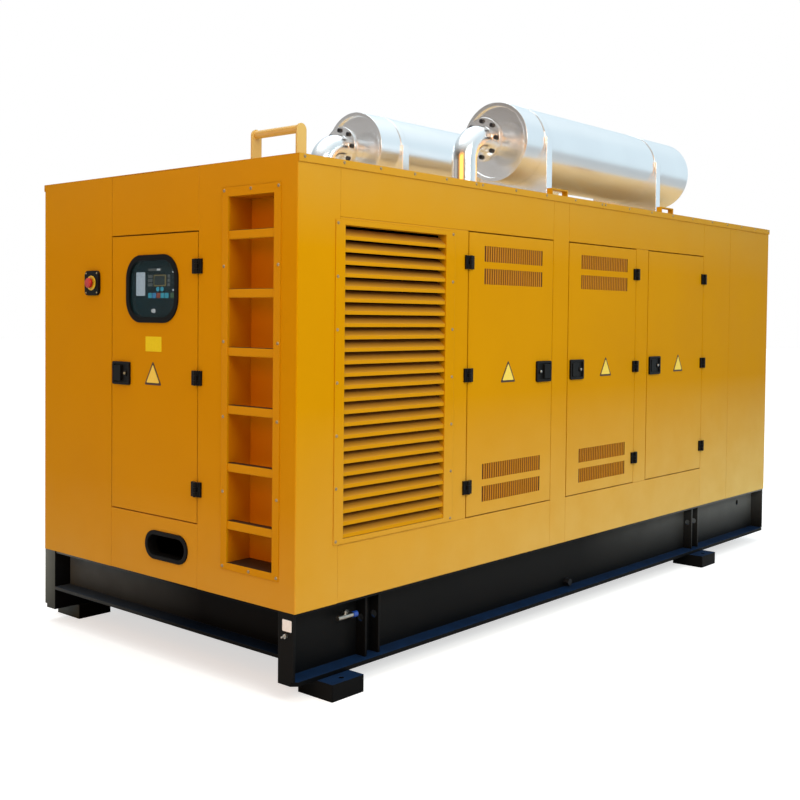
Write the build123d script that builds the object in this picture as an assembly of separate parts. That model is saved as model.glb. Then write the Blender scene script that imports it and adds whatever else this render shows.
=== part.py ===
"""Sound-proofed generator set: a lined steel canopy on a skid base, with two silencers on the roof.

Pieces are drawn from the canopy's lower corner: x from the control end, y from the front side, z from
the canopy's lower edge. They are moved to the part's own frame when they are saved.
"""
import os

from build123d import *

# Canopy
LENGTH = 5000
WIDTH = 2000
HEIGHT = 2000
WALL = 50
JOINT_BEVEL = 2.5
CORNER_RADIUS = 6

# Widths along the long side, each piece starting where the last one ends. The doors share what is left
COLUMN_SIDE_LEG = 262
LOUVRE_BAY_WIDE = 945
POST_WIDE = 160
STRIP_WIDE = 154
TAIL_WIDE = 427
BACK_COLUMN_SIDE_LEG = 680
DOORS = 3
SILL = 262
HEAD_DROP = 255

# Control end, from the ladder's corner
LADDER_COLUMN_END_LEG = 670
CONTROL_BAY_WIDE = 699
CONTROL_SILL = 306
CONTROL_HEAD_DROP = 304

# Back end
BACK_COLUMN_END_LEG = 400
BACK_SILL = 200
BACK_HEAD_DROP = 240
BACK_OPENING_SETIN = 70

# Roof
ROOF_SHEET = 4
ROOF_JOINT_SHARES = (0, 0.256, 0.505, 0.754, 1)
ROOF_GAP = 2
LIP_SHEET = 6
LIP_DROP = 35

# Doors
DOOR_GAP = 6
DOOR_DEPTH = 40
DOOR_SHEET = 3
LINING_SETBACK = 2
VENT_SETIN_LEFT = 133
VENT_SETIN_RIGHT = 105
VENT_INSET = 70
VENT_TALL = 82
VENT_STEP = 118
VENT_BACKING = 8

# Door hinges
HINGE_INSET = 162
CONTROL_HINGE_INSET = 168
HINGE_TALL = 70
LEAF_REACH = 34
KNUCKLE_RADIUS = 10
KNUCKLE_LIFT = 4
KNUCKLE_RELIEF = 2
KNUCKLE_GAP = 1
LEAF_RELIEF = 3
PIN_RADIUS = 4
PIN_PLAY = 0.35

# Door latches
LATCH_WIDE = 143
LATCH_TALL = 116
LATCH_EDGE = 16
LATCH_PROUD = 12
LATCH_CORNER = 10
LATCH_RIM = 12
LATCH_FLOOR = 4
POCKET_CORNER = 6
PADDLE_WIDE = 56
PADDLE_ASIDE = 26
PADDLE_MARGIN = 6
PADDLE_PROUD = 3
PADDLE_CORNER = 5
LOCK_RADIUS = 14
LOCK_ASIDE = 36

# Louvres
LOUVRE_SETIN_LEFT = 31
LOUVRE_SETIN_RIGHT = 187
LOUVRE_INSET_FOOT = 28
LOUVRE_INSET_HEAD = 34
LOUVRE_FLANGE_LEFT = 61
LOUVRE_FLANGE_RIGHT = 72
LOUVRE_FLANGE_UP = 22
FLANGE_SHEET = 4
BLADE_FOOT = 2
BLADE_PITCH = 56.4
BLADE_SHEET = 3
BLADE_RUN = 42
BLADE_RISE = 36
BLADE_LIP = 14

# Ladder
LADDER_SETIN = 147
LADDER_WIDE = 307
LADDER_FOOT = 160
LADDER_HEAD_DROP = 160
LADDER_DEPTH = 142
LADDER_FLANGE_SIDE = 43
LADDER_FLANGE_FOOT = 33
LADDER_FLANGE_HEAD = 42
TRAY_SHEET = 4
RUNGS = 6
RUNG_FIRST = 195
RUNG_LAST_DROP = 153
RUNG_TALL = 42
RUNG_DEEP = 40
RUNG_ROUND = 6

# Window in the control door
WINDOW_ASIDE = 8.5
WINDOW_WIDE = 416
WINDOW_HEAD_DROP = 98
WINDOW_TALL = 334
WINDOW_CORNER = 118
GASKET_WIDE = 18
GASKET_PROUD = 8
GASKET_DEEP = 12
PANE_SETIN = 9
PANE_THICK = 6

# Control cabinet
CABINET_SETIN = 53
CABINET_WIDE = 700
CABINET_FRONT = 110
CABINET_DEEP = 380
CABINET_FOOT = 352
CABINET_HEAD_DROP = 340
CABINET_LEG = 40
CONTROLLER_ASIDE = 40
CONTROLLER_LIFT = 35
CONTROLLER_WIDE = 224
CONTROLLER_TALL = 170
CONTROLLER_DEEP = 28
CONTROLLER_CORNER = 8

# Emergency stop
STOP_SETIN = 101
STOP_FOOT = 1395
STOP_BOX_WIDE = 124
STOP_BOX_TALL = 128
STOP_BOX_DEEP = 14
STOP_BOX_ROUND = 26
STOP_STEM_RADIUS = 15
STOP_STEM = 10
STOP_CAP_RADIUS = 26
STOP_CAP = 18
STOP_CAP_BEVEL = 6

# Cable outlet
OUTLET_SETIN = 80
OUTLET_WIDE = 310
OUTLET_FOOT = 105
OUTLET_TALL = 121
EDGING_WIDE = 10
EDGING_PROUD = 8

# Skid base
BEAM_HEIGHT = 322
WEB_SETBACK = 95
WEB = 10
TOP_FLANGE = 12
TOP_FLANGE_SETBACK = 8
LOWER_FLANGE = 20
END_PLATE = 12
FLANGE_CLIP = 25
WEB_HOLE_RADIUS = 20
WEB_HOLE_SETIN = 272
WEB_HOLE_DROP = 87
END_BEAM_HEIGHT = 212
END_FLANGE = 16
FOOT_HEIGHT = 78
FOOT_WIDE = 206
FOOT_REACH = 95
FOOT_LONG = 220
FOOT_ROUND = 6
FOOT_FRONT_X = 140
FOOT_REAR_SETIN = 1040
BOLT_SETIN = 45
BOLT_RADIUS = 13
LIFT_FRONT_X = 490
LIFT_REAR_SETIN = 1150
LIFT_SPACING = 92
LIFT_SHEET = 12
LIFT_SETBACK = 35
LIFT_HOLE_RADIUS = 18
LIFT_HOLE_DROP = 120

# Drain valve in the front beam
VALVE_CLEAR = 78
VALVE_DROP = 92
VALVE_OUT = 40
VALVE_RADIUS = 11
VALVE_LONG = 88
VALVE_NUT_RADIUS = 20
VALVE_NUT = 14
STEM_SETBACK = 38
STEM_RADIUS = 6
STEM_TALL = 26
LEVER_LONG = 27
LEVER_RADIUS = 14

# Roof fittings
HANDLE_X = 150
HANDLE_Y = 140
HANDLE_SPAN = 300
HANDLE_POST_WIDE = 60
HANDLE_POST_THICK = 8
HANDLE_TALL = 162
HANDLE_BAR_RADIUS = 19
HANDLE_BAR_DROP = 24
LOOP_FRONT_X = 2010
LOOP_REAR_SETIN = 1690
LOOP_LONG = 165
LOOP_TALL = 42
LOOP_SETIN = 24
LOOP_WIDE = 36
LOOP_STRAP = 8

# Silencers on the roof
SILENCER_REAR_SETIN = 682
SILENCER_STAGGER = 283
SILENCER_OFF_CENTRE = 455
SILENCER_RADIUS = 240
SILENCER_AXIS = 370
SILENCER_BODY = 2070
SILENCER_DOME = 85
SILENCER_RIM = 24
SILENCER_DISH = 14
SADDLE_FRONT = 192
SADDLE_REAR = 1571
SADDLE_CLEAR = 12
SADDLE_TALL = 404
SADDLE_WIDE = 60
SADDLE_SHEET = 6
STRAP_WIDE = 46
STRAP_SHEET = 4

# Exhaust elbow at the front of each silencer
PIPE_RADIUS = 76
PIPE_DROP_X = 297
BEND_RADIUS = 150
PIPE_FLANGE_RADIUS = 130
PIPE_FLANGE = 32
PIPE_FLANGE_OUT = 129
COLLAR_RADIUS = 140
COLLAR = 12
QUARTER_TURN = 90

# Machine inside the canopy, and its rails on the deck
RAIL_OFF_CENTRE = 360
RAIL_WIDE = 90
RAIL_TALL = 120
RAIL_FRONT_OVERHANG = 30
RAIL_REAR_OVERHANG = 140
RAIL_CLEAR = 90
ALTERNATOR_START = 1330
ALTERNATOR_LONG = 1150
ALTERNATOR_RADIUS = 390
ALTERNATOR_BEVEL = 60
ALTERNATOR_LIFT = 10
MACHINE_FOOT = 110
TERMINAL_SETIN = 130
TERMINAL_LONG = 640
TERMINAL_HALF = 330
TERMINAL_TALL = 660
FLYWHEEL_LONG = 150
FLYWHEEL_RADIUS = 345
SUMP_HALF = 190
SUMP_LIFT = 20
SUMP_TALL = 300
CRANKCASE_HALF = 330
CRANKCASE_FLARE = 80
ENGINE_TALL = 700
ENGINE_FOOT_SETIN = 180
ENGINE_FOOT_LONG = 160
BANK_WIDE = 260
BANK_TALL = 420
BANK_TILT = 38
BANK_SETIN = 90
FAN_THICK = 50
FAN_SETIN = 60
FAN_SHAFT_RADIUS = 60
RADIATOR_BACK_CLEAR = 390
RADIATOR_DEEP = 190
RADIATOR_HALF = 720
RADIATOR_HEAD_DROP = 280
RADIATOR_TANK = 140
RADIATOR_TANK_PROUD = 40
SHROUD_DEEP = 100
SHROUD_SHEET = 15
SHROUD_PLAY = 20
SHROUD_FLOOR_GAP = 25


def from_start(start, size):
    """Pair of limits from a start and a size."""
    return (start, start + size)


def about(middle, half):
    """Pair of limits on both sides of a middle."""
    return (middle - half, middle + half)


def centre(limits):
    """Middle of a pair of limits."""
    return (limits[0] + limits[1]) / 2


def shrunk(limits, margin):
    """Limits drawn in by a margin at both ends."""
    return (limits[0] + margin, limits[1] - margin)


# Places that follow from the sizes
WALL_TOP = HEIGHT - ROOF_SHEET
BASE_HEIGHT = BEAM_HEIGHT + FOOT_HEIGHT
MID_Y = WIDTH / 2
STOP_REACH = STOP_BOX_DEEP + STOP_STEM + STOP_CAP
CENTRE_X = (LENGTH + FLANGE_SHEET - STOP_REACH) / 2
HEAD = HEIGHT - HEAD_DROP
LOUVRE_BAY = from_start(COLUMN_SIDE_LEG, LOUVRE_BAY_WIDE)
FIXED_WIDE = COLUMN_SIDE_LEG + LOUVRE_BAY_WIDE + POST_WIDE + STRIP_WIDE + TAIL_WIDE + BACK_COLUMN_SIDE_LEG
DOOR_WIDE = (LENGTH - FIXED_WIDE) / DOORS
DOOR_1 = from_start(LOUVRE_BAY[1], DOOR_WIDE)
POST = from_start(DOOR_1[1], POST_WIDE)
DOOR_2 = from_start(POST[1], DOOR_WIDE)
STRIP = from_start(DOOR_2[1], STRIP_WIDE)
DOOR_3 = from_start(STRIP[1], DOOR_WIDE)
TAIL = from_start(DOOR_3[1], TAIL_WIDE)
LOUVRE_HEIGHTS = (SILL + LOUVRE_INSET_FOOT, HEAD - LOUVRE_INSET_HEAD)
CONTROL_BAY = from_start(LADDER_COLUMN_END_LEG, CONTROL_BAY_WIDE)
CONTROL_HEAD = HEIGHT - CONTROL_HEAD_DROP
STOP_COLUMN_END_LEG = WIDTH - CONTROL_BAY[1]
WINDOW_X = centre(CONTROL_BAY) + WINDOW_ASIDE
WINDOW_Z = CONTROL_HEAD - DOOR_GAP - WINDOW_HEAD_DROP - WINDOW_TALL / 2
HINGE_AXIS_OUT = KNUCKLE_RADIUS + KNUCKLE_LIFT
LEAF_THICK = HINGE_AXIS_OUT - LEAF_RELIEF
BEAM_INNER = WEB_SETBACK + WEB
FLANGE_TOP = LOWER_FLANGE - BEAM_HEIGHT
VALVE_X = LIFT_FRONT_X - VALVE_CLEAR

RADIATOR_END = LENGTH - WALL - RADIATOR_BACK_CLEAR - RADIATOR_TANK_PROUD
RADIATOR_X = (RADIATOR_END - RADIATOR_DEEP, RADIATOR_END)
RAIL_END = RADIATOR_X[0] - RADIATOR_TANK_PROUD - RAIL_CLEAR
RAIL_OUTER = RAIL_OFF_CENTRE + RAIL_WIDE / 2
ENGINE_END = RAIL_END - RAIL_REAR_OVERHANG
SHAFT_Z = RAIL_TALL + ALTERNATOR_LIFT + ALTERNATOR_RADIUS
SHROUD_RADIUS = SHAFT_Z - SHROUD_FLOOR_GAP

FAR_PLANE = Plane(origin=(0, MID_Y, 0), z_dir=(0, 1, 0))
MIDDLE_PLANE = Plane(origin=(LENGTH / 2, 0, 0), z_dir=(1, 0, 0))
END_PLANE = Plane(origin=(0, 0, 0), z_dir=(1, -1, 0))
LOW = (Align.MIN, Align.MIN, Align.MIN)
STANDING = (Align.CENTER, Align.CENTER, Align.MIN)


def block(x, y, z):
    """Box between a low and a high limit along each axis."""
    return Pos(x[0], y[0], z[0]) * Box(x[1] - x[0], y[1] - y[0], z[1] - z[0], align=LOW)


def rod_x(x, y, z, radius):
    """Round bar along x between two limits."""
    return Pos(x[0], y, z) * Rot(0, 90, 0) * Cylinder(radius, x[1] - x[0], align=STANDING)


def rod_y(x, y, z, radius):
    """Round bar along y between two limits."""
    return Pos(x, y[0], z) * Rot(-90, 0, 0) * Cylinder(radius, y[1] - y[0], align=STANDING)


def rod_z(x, y, z, radius):
    """Round bar along z between two limits."""
    return Pos(x, y, z[0]) * Cylinder(radius, z[1] - z[0], align=STANDING)


def to_far(shape):
    """The like piece on the far long side."""
    return mirror(shape, about=FAR_PLANE)


def to_end(shape):
    """A piece drawn on the front side, laid on the control end."""
    return mirror(shape, about=END_PLANE)


def to_back(shape):
    """A piece drawn on the front side, laid on the back end."""
    return Pos(LENGTH, 0, 0) * Rot(0, 0, 90) * shape


def save(name, *shapes):
    """Move a node's solids to the part's frame and write them."""
    solids = [solid for shape in shapes for solid in shape.solids()]
    placed = [Pos(-CENTRE_X, -MID_Y, BASE_HEIGHT) * solid for solid in solids]
    export_step(Compound(placed), f"parts/{name}.step")


def bevelled(slab):
    """Wall piece with a bevel at the joints round its outer face."""
    return chamfer(slab.faces().sort_by(Axis.Y)[0].edges(), JOINT_BEVEL)


def panel(x, z):
    """Lined wall panel of the front side."""
    return bevelled(block(x, (0, WALL), z))


def on_wall(outline, x, z, y):
    """Outline set on the front side and made solid between two depths."""
    plane = Plane(origin=(centre(x), y[1], centre(z)), x_dir=(1, 0, 0), z_dir=(0, -1, 0))
    return extrude(plane * outline, y[1] - y[0])


def oblong(x, z, radius, y):
    """Plate with rounded corners between two depths of the front side."""
    return on_wall(RectangleRounded(x[1] - x[0], z[1] - z[0], radius), x, z, y)


def slot(x, z, y):
    """Plate with round ends between two depths of the front side."""
    return on_wall(SlotOverall(x[1] - x[0], z[1] - z[0]), x, z, y)


def skid_beams():
    """Channel side beams with end plates, and the shallower end beams."""
    outline = Polyline(
        (0, -BEAM_HEIGHT),
        (BEAM_INNER, -BEAM_HEIGHT),
        (BEAM_INNER, 0),
        (TOP_FLANGE_SETBACK, 0),
        (TOP_FLANGE_SETBACK, -TOP_FLANGE),
        (WEB_SETBACK, -TOP_FLANGE),
        (WEB_SETBACK, FLANGE_TOP),
        (0, FLANGE_TOP),
        close=True,
    )
    beam = extrude(Plane.YZ * make_face(outline), LENGTH)
    clip_outline = Polyline((0, 0), (FLANGE_CLIP, 0), (0, FLANGE_CLIP), close=True)
    clip = extrude(Plane.XY.offset(-BEAM_HEIGHT) * make_face(clip_outline), LOWER_FLANGE)
    plate = block((0, END_PLATE), (TOP_FLANGE_SETBACK, WEB_SETBACK), (FLANGE_TOP, -TOP_FLANGE))
    hole_x = LENGTH - WEB_HOLE_SETIN
    hole = rod_y(hole_x, (WEB_SETBACK, BEAM_INNER), -WEB_HOLE_DROP, WEB_HOLE_RADIUS)
    beam = beam + plate + mirror(plate, about=MIDDLE_PLANE)
    beam = beam - clip - mirror(clip, about=MIDDLE_PLANE) - hole
    save("base_side_beams", beam, to_far(beam))

    across = shrunk((0, WIDTH), BEAM_INNER)
    web = block((WEB_SETBACK, BEAM_INNER), across, (-END_BEAM_HEIGHT, 0))
    lower = block((0, WEB_SETBACK), across, from_start(-END_BEAM_HEIGHT, END_FLANGE))
    upper = block((TOP_FLANGE_SETBACK, WEB_SETBACK), across, (-TOP_FLANGE, 0))
    end_beam = web + lower + upper
    save("base_end_beams", end_beam, mirror(end_beam, about=MIDDLE_PLANE))

    deck = block(shrunk((0, LENGTH), BEAM_INNER), across, (-TOP_FLANGE, 0))
    for way in (-1, 1):
        rail_y = about(MID_Y + way * RAIL_OFF_CENTRE, RAIL_WIDE / 2)
        deck = deck + block((ALTERNATOR_START - RAIL_FRONT_OVERHANG, RAIL_END), rail_y, (0, RAIL_TALL))
    save("base_deck", deck)


def feet():
    """Short foot beams across the side beams, with a hold-down hole in the end that reaches past them."""
    solids = []
    z = (-BASE_HEIGHT, -BEAM_HEIGHT)
    for start in (FOOT_FRONT_X, LENGTH - FOOT_REAR_SETIN - FOOT_WIDE):
        x = from_start(start, FOOT_WIDE)
        foot = block(x, from_start(-FOOT_REACH, FOOT_LONG), z)
        foot = fillet(foot.edges().filter_by(Axis.Z), FOOT_ROUND)
        foot = foot - rod_z(centre(x), BOLT_SETIN - FOOT_REACH, z, BOLT_RADIUS)
        solids.extend((foot, to_far(foot)))
    save("foot_beams", *solids)


def beam_fittings():
    """Paired lifting plates in the side beams, and the drain valve."""
    plates = []
    y = (LIFT_SETBACK, WEB_SETBACK)
    for first in (LIFT_FRONT_X, LENGTH - LIFT_REAR_SETIN):
        for start in from_start(first, LIFT_SPACING):
            x = from_start(start, LIFT_SHEET)
            plate = block(x, y, (FLANGE_TOP, -TOP_FLANGE))
            plate = plate - rod_x(x, centre(y), -LIFT_HOLE_DROP, LIFT_HOLE_RADIUS)
            plates.extend((plate, to_far(plate)))
    save("lifting_plates", *plates)

    valve_y = WEB_SETBACK - VALVE_OUT
    body = rod_y(VALVE_X, (valve_y, WEB_SETBACK), -VALVE_DROP, VALVE_RADIUS)
    body = body + rod_y(VALVE_X, (WEB_SETBACK - VALVE_NUT, WEB_SETBACK), -VALVE_DROP, VALVE_NUT_RADIUS)
    pipe_x = (VALVE_X - VALVE_LONG, VALVE_X + VALVE_RADIUS)
    body = body + rod_x(pipe_x, valve_y, -VALVE_DROP, VALVE_RADIUS)
    body = body + rod_z(VALVE_X - STEM_SETBACK, valve_y, from_start(-VALVE_DROP, STEM_TALL), STEM_RADIUS)
    save("drain_valve", body)
    save("drain_valve_lever", rod_x(from_start(pipe_x[1], LEVER_LONG), valve_y, -VALVE_DROP, LEVER_RADIUS))


def corner_column(side_leg, end_leg):
    """Folded corner sheet with its lining, seen in plan as an angle."""
    outline = Polyline(
        (0, 0),
        (side_leg, 0),
        (side_leg, WALL),
        (WALL, WALL),
        (WALL, end_leg),
        (0, end_leg),
        close=True,
    )
    column = extrude(make_face(outline), WALL_TOP)
    upright = column.edges().filter_by(Axis.Z)
    corner = upright.sort_by(lambda edge: edge.center().X + edge.center().Y)[0]
    return fillet(corner, CORNER_RADIUS)


def ladder_corner():
    """Corner column with the ladder sunk into it."""
    opening = from_start(LADDER_SETIN, LADDER_WIDE)
    opening_z = (LADDER_FOOT, HEIGHT - LADDER_HEAD_DROP)
    tray_y = shrunk(opening, -TRAY_SHEET)
    tray_z = shrunk(opening_z, -TRAY_SHEET)
    column = corner_column(COLUMN_SIDE_LEG, LADDER_COLUMN_END_LEG)
    save("ladder_column", column - block((0, WALL), tray_y, tray_z))

    flange_z = (opening_z[0] - LADDER_FLANGE_FOOT, opening_z[1] + LADDER_FLANGE_HEAD)
    flange = block((-FLANGE_SHEET, 0), shrunk(opening, -LADDER_FLANGE_SIDE), flange_z)
    well = block((-FLANGE_SHEET, LADDER_DEPTH - TRAY_SHEET), opening, opening_z)
    save("ladder_recess", block((0, LADDER_DEPTH), tray_y, tray_z) + flange - well)

    rungs = []
    first = opening_z[0] + RUNG_FIRST
    pitch = (opening_z[1] - RUNG_LAST_DROP - first) / (RUNGS - 1)
    for index in range(RUNGS):
        top = first + index * pitch
        rung = block((0, RUNG_DEEP), opening, (top - RUNG_TALL, top))
        rungs.append(fillet(rung.edges().filter_by(Axis.Y), RUNG_ROUND))
    save("ladder_rungs", *rungs)


def control_end():
    """Panels, cable outlet, control cabinet and emergency stop of the control end."""
    save("stop_column", to_far(corner_column(COLUMN_SIDE_LEG, STOP_COLUMN_END_LEG)))
    save("control_end_upper_panel", to_end(panel(CONTROL_BAY, (CONTROL_HEAD, WALL_TOP))))

    outlet_x = from_start(CONTROL_BAY[0] + OUTLET_SETIN, OUTLET_WIDE)
    outlet_z = from_start(OUTLET_FOOT, OUTLET_TALL)
    outlet = slot(outlet_x, outlet_z, (0, WALL))
    rim = slot(shrunk(outlet_x, -EDGING_WIDE), shrunk(outlet_z, -EDGING_WIDE), (-EDGING_PROUD, 0))
    bore = slot(shrunk(outlet_x, EDGING_WIDE), shrunk(outlet_z, EDGING_WIDE), (-EDGING_PROUD, WALL))
    save("control_end_lower_panel", to_end(panel(CONTROL_BAY, (0, CONTROL_SILL)) - outlet))
    save("cable_outlet_edging", to_end(rim + outlet - bore))

    cabinet_x = from_start(CABINET_FRONT, CABINET_DEEP)
    cabinet_y = from_start(CONTROL_BAY[0] + CABINET_SETIN, CABINET_WIDE)
    cabinet = block(cabinet_x, cabinet_y, (CABINET_FOOT, HEIGHT - CABINET_HEAD_DROP))
    for leg_start in (cabinet_y[0], cabinet_y[1] - CABINET_LEG):
        cabinet = cabinet + block(cabinet_x, from_start(leg_start, CABINET_LEG), (0, CABINET_FOOT))
    save("control_cabinet", cabinet)
    unit_x = about(WINDOW_X + CONTROLLER_ASIDE, CONTROLLER_WIDE / 2)
    unit_z = about(WINDOW_Z + CONTROLLER_LIFT, CONTROLLER_TALL / 2)
    unit_depth = (CABINET_FRONT - CONTROLLER_DEEP, CABINET_FRONT)
    save("controller", to_end(oblong(unit_x, unit_z, CONTROLLER_CORNER, unit_depth)))

    stop_y = from_start(CONTROL_BAY[1] + STOP_SETIN, STOP_BOX_WIDE)
    stop_z = from_start(STOP_FOOT, STOP_BOX_TALL)
    box = block((-STOP_BOX_DEEP, 0), stop_y, stop_z)
    save("stop_box", fillet(box.edges().filter_by(Axis.X), STOP_BOX_ROUND))
    stem_end = -STOP_BOX_DEEP - STOP_STEM
    stem = rod_x((stem_end, -STOP_BOX_DEEP), centre(stop_y), centre(stop_z), STOP_STEM_RADIUS)
    cap = rod_x((-STOP_REACH, stem_end), centre(stop_y), centre(stop_z), STOP_CAP_RADIUS)
    cap = chamfer(cap.edges().sort_by(Axis.X)[0], STOP_CAP_BEVEL)
    save("stop_button", stem + cap)


def door_pan(x, z):
    """Folded sheet door, open towards the inside."""
    hollow = block(shrunk(x, DOOR_SHEET), (DOOR_SHEET, DOOR_DEPTH), shrunk(z, DOOR_SHEET))
    return block(x, (0, DOOR_DEPTH), z) - hollow


def door_lining(x, z):
    """Foam slab that fills a door pan."""
    depth = (DOOR_SHEET, DOOR_DEPTH - LINING_SETBACK)
    return block(shrunk(x, DOOR_SHEET), depth, shrunk(z, DOOR_SHEET))


def vents(x):
    """Cutters for the rows of air slots at the foot and head of a door, and the pockets behind them."""
    first = SILL + VENT_INSET
    last = HEAD - VENT_INSET - VENT_TALL
    rows = (first, first + VENT_STEP, last - VENT_STEP, last)
    deep = DOOR_DEPTH - LINING_SETBACK - VENT_BACKING
    wide = (x[0] + VENT_SETIN_LEFT, x[1] - VENT_SETIN_RIGHT)
    return [block(wide, (0, deep), from_start(row, VENT_TALL)) for row in rows]


def hinge(x, z, side):
    """Frame leaf with its pin, and door leaf, of one block hinge. The door lies on the given side."""
    third = HINGE_TALL / 3
    foot = z - HINGE_TALL / 2
    tall = from_start(foot, HINGE_TALL)
    near = KNUCKLE_RADIUS + KNUCKLE_RELIEF

    def leaf(way):
        ends = sorted((x + way * near, x + way * LEAF_REACH))
        return block(ends, (-LEAF_THICK, 0), tall)

    def knuckle(way, height):
        ends = sorted((x, x + way * (near + LEAF_THICK)))
        web = block(ends, from_start(-HINGE_AXIS_OUT, LEAF_THICK), height)
        return web + rod_z(x, -HINGE_AXIS_OUT, height, KNUCKLE_RADIUS)

    pin = rod_z(x, -HINGE_AXIS_OUT, tall, PIN_RADIUS)
    bore = rod_z(x, -HINGE_AXIS_OUT, tall, PIN_RADIUS + PIN_PLAY)
    low_knuckle = knuckle(-side, from_start(foot, third))
    top_knuckle = knuckle(-side, from_start(foot + 2 * third, third))
    mid_knuckle = knuckle(side, shrunk(from_start(foot + third, third), KNUCKLE_GAP))
    return leaf(-side) + low_knuckle + top_knuckle + pin, leaf(side) + mid_knuckle - bore


def shut_hinge(x, z):
    """Hinge of a door that stays shut, as one solid."""
    tall = about(z, HINGE_TALL / 2)
    plate = block(about(x, LEAF_REACH), (-LEAF_THICK, 0), tall)
    return plate + rod_z(x, -HINGE_AXIS_OUT, tall, KNUCKLE_RADIUS)


def hinge_heights(opening_z, inset):
    """Heights of the three hinges down the edge of a door."""
    low, high = shrunk(opening_z, inset)
    return (low, centre(opening_z), high)


def hinges(x, heights, side):
    """Hinges down the edge of a door, as frame leaves and door leaves."""
    pairs = [hinge(x, height, side) for height in heights]
    return [pair[0] for pair in pairs], [pair[1] for pair in pairs]


def latch(x, opening_z, edge_side):
    """Paddle latch at mid height of a door, its paddle towards the door's edge and its lock opposite."""
    edge = x[1] - LATCH_EDGE if edge_side > 0 else x[0] + LATCH_EDGE
    case_x = sorted((edge, edge - edge_side * LATCH_WIDE))
    case_z = about(centre(opening_z), LATCH_TALL / 2)
    pocket_x = shrunk(case_x, LATCH_RIM)
    pocket_z = shrunk(case_z, LATCH_RIM)
    case = oblong(case_x, case_z, LATCH_CORNER, (-LATCH_PROUD, 0))
    case = case - oblong(pocket_x, pocket_z, POCKET_CORNER, (-LATCH_PROUD, -LATCH_FLOOR))
    paddle_x = about(centre(case_x) + edge_side * PADDLE_ASIDE, PADDLE_WIDE / 2)
    paddle_y = (-LATCH_PROUD - PADDLE_PROUD, -LATCH_FLOOR)
    paddle = oblong(paddle_x, shrunk(pocket_z, PADDLE_MARGIN), PADDLE_CORNER, paddle_y)
    lock_x = centre(case_x) - edge_side * LOCK_ASIDE
    return case + paddle + rod_y(lock_x, (-LATCH_PROUD, -LATCH_FLOOR), centre(case_z), LOCK_RADIUS)


def control_door():
    """Hinged door with a window. Returns the frame leaves of its hinges."""
    opening_z = (CONTROL_SILL, CONTROL_HEAD)
    x = shrunk(CONTROL_BAY, DOOR_GAP)
    z = shrunk(opening_z, DOOR_GAP)
    window_x = about(WINDOW_X, WINDOW_WIDE / 2)
    window_z = about(WINDOW_Z, WINDOW_TALL / 2)
    hole_x = shrunk(window_x, GASKET_WIDE)
    hole_z = shrunk(window_z, GASKET_WIDE)
    hole_corner = WINDOW_CORNER - GASKET_WIDE
    cut = oblong(hole_x, hole_z, hole_corner, (0, DOOR_DEPTH))
    save("control_door", to_end(door_pan(x, z) - cut))
    save("control_door_lining", to_end(door_lining(x, z) - cut))

    seat = oblong(window_x, window_z, WINDOW_CORNER, (-GASKET_PROUD, 0))
    sleeve = oblong(hole_x, hole_z, hole_corner, (0, GASKET_DEEP))
    pane_x = shrunk(hole_x, PANE_SETIN)
    pane_z = shrunk(hole_z, PANE_SETIN)
    pane_corner = hole_corner - PANE_SETIN
    sight = oblong(pane_x, pane_z, pane_corner, (-GASKET_PROUD, GASKET_DEEP))
    save("window_gasket", to_end(seat + sleeve - sight))
    save("window_pane", to_end(oblong(pane_x, pane_z, pane_corner, (0, PANE_THICK))))

    axis = CONTROL_BAY[0] + DOOR_GAP / 2
    frame_leaves, door_leaves = hinges(axis, hinge_heights(opening_z, CONTROL_HINGE_INSET), 1)
    fittings = door_leaves + [latch(x, opening_z, 1)]
    save("control_door_fittings", *[to_end(piece) for piece in fittings])
    return [to_end(piece) for piece in frame_leaves]


def side_doors():
    """Doors of the front side, and the fixed like doors of the far side. Returns the front frame leaves."""
    front_leaves = []
    far_doors = []
    far_fittings = []
    hinged_left = (DOOR_1,)
    vented = (DOOR_1, DOOR_2)
    opening_z = (SILL, HEAD)
    heights = hinge_heights(opening_z, HINGE_INSET)
    for number, opening in enumerate((DOOR_1, DOOR_2, DOOR_3), start=1):
        x = shrunk(opening, DOOR_GAP)
        z = shrunk(opening_z, DOOR_GAP)
        door = door_pan(x, z)
        lining = door_lining(x, z)
        far_door = bevelled(block(opening, (0, DOOR_DEPTH), opening_z))
        if opening in vented:
            door = door - vents(x)
            lining = lining - vents(x)
            far_door = far_door - vents(x)
        if opening in hinged_left:
            axis = opening[0] + DOOR_GAP / 2
            frame_leaves, door_leaves = hinges(axis, heights, 1)
            lock = latch(x, opening_z, 1)
        else:
            axis = opening[1] - DOOR_GAP / 2
            frame_leaves, door_leaves = hinges(axis, heights, -1)
            lock = latch(x, opening_z, -1)
        save(f"side_door_{number}", door)
        save(f"side_door_{number}_lining", lining)
        save(f"side_door_{number}_fittings", *door_leaves, lock)
        front_leaves.extend(frame_leaves)
        far_doors.append(to_far(far_door))
        far_fittings.append(to_far(lock))
        far_fittings.extend(to_far(shut_hinge(axis, height)) for height in heights)
    save("far_doors", *far_doors)
    save("far_door_fittings", *far_fittings)
    return front_leaves


def louvre_frame(bay, bay_z, opening, opening_z, flange):
    """Wall panel with an opening, and a flat flange screwed on round it."""
    rim = block(flange, (-FLANGE_SHEET, 0), shrunk(opening_z, -LOUVRE_FLANGE_UP))
    return panel(bay, bay_z) + rim - block(opening, (-FLANGE_SHEET, WALL), opening_z)


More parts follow.
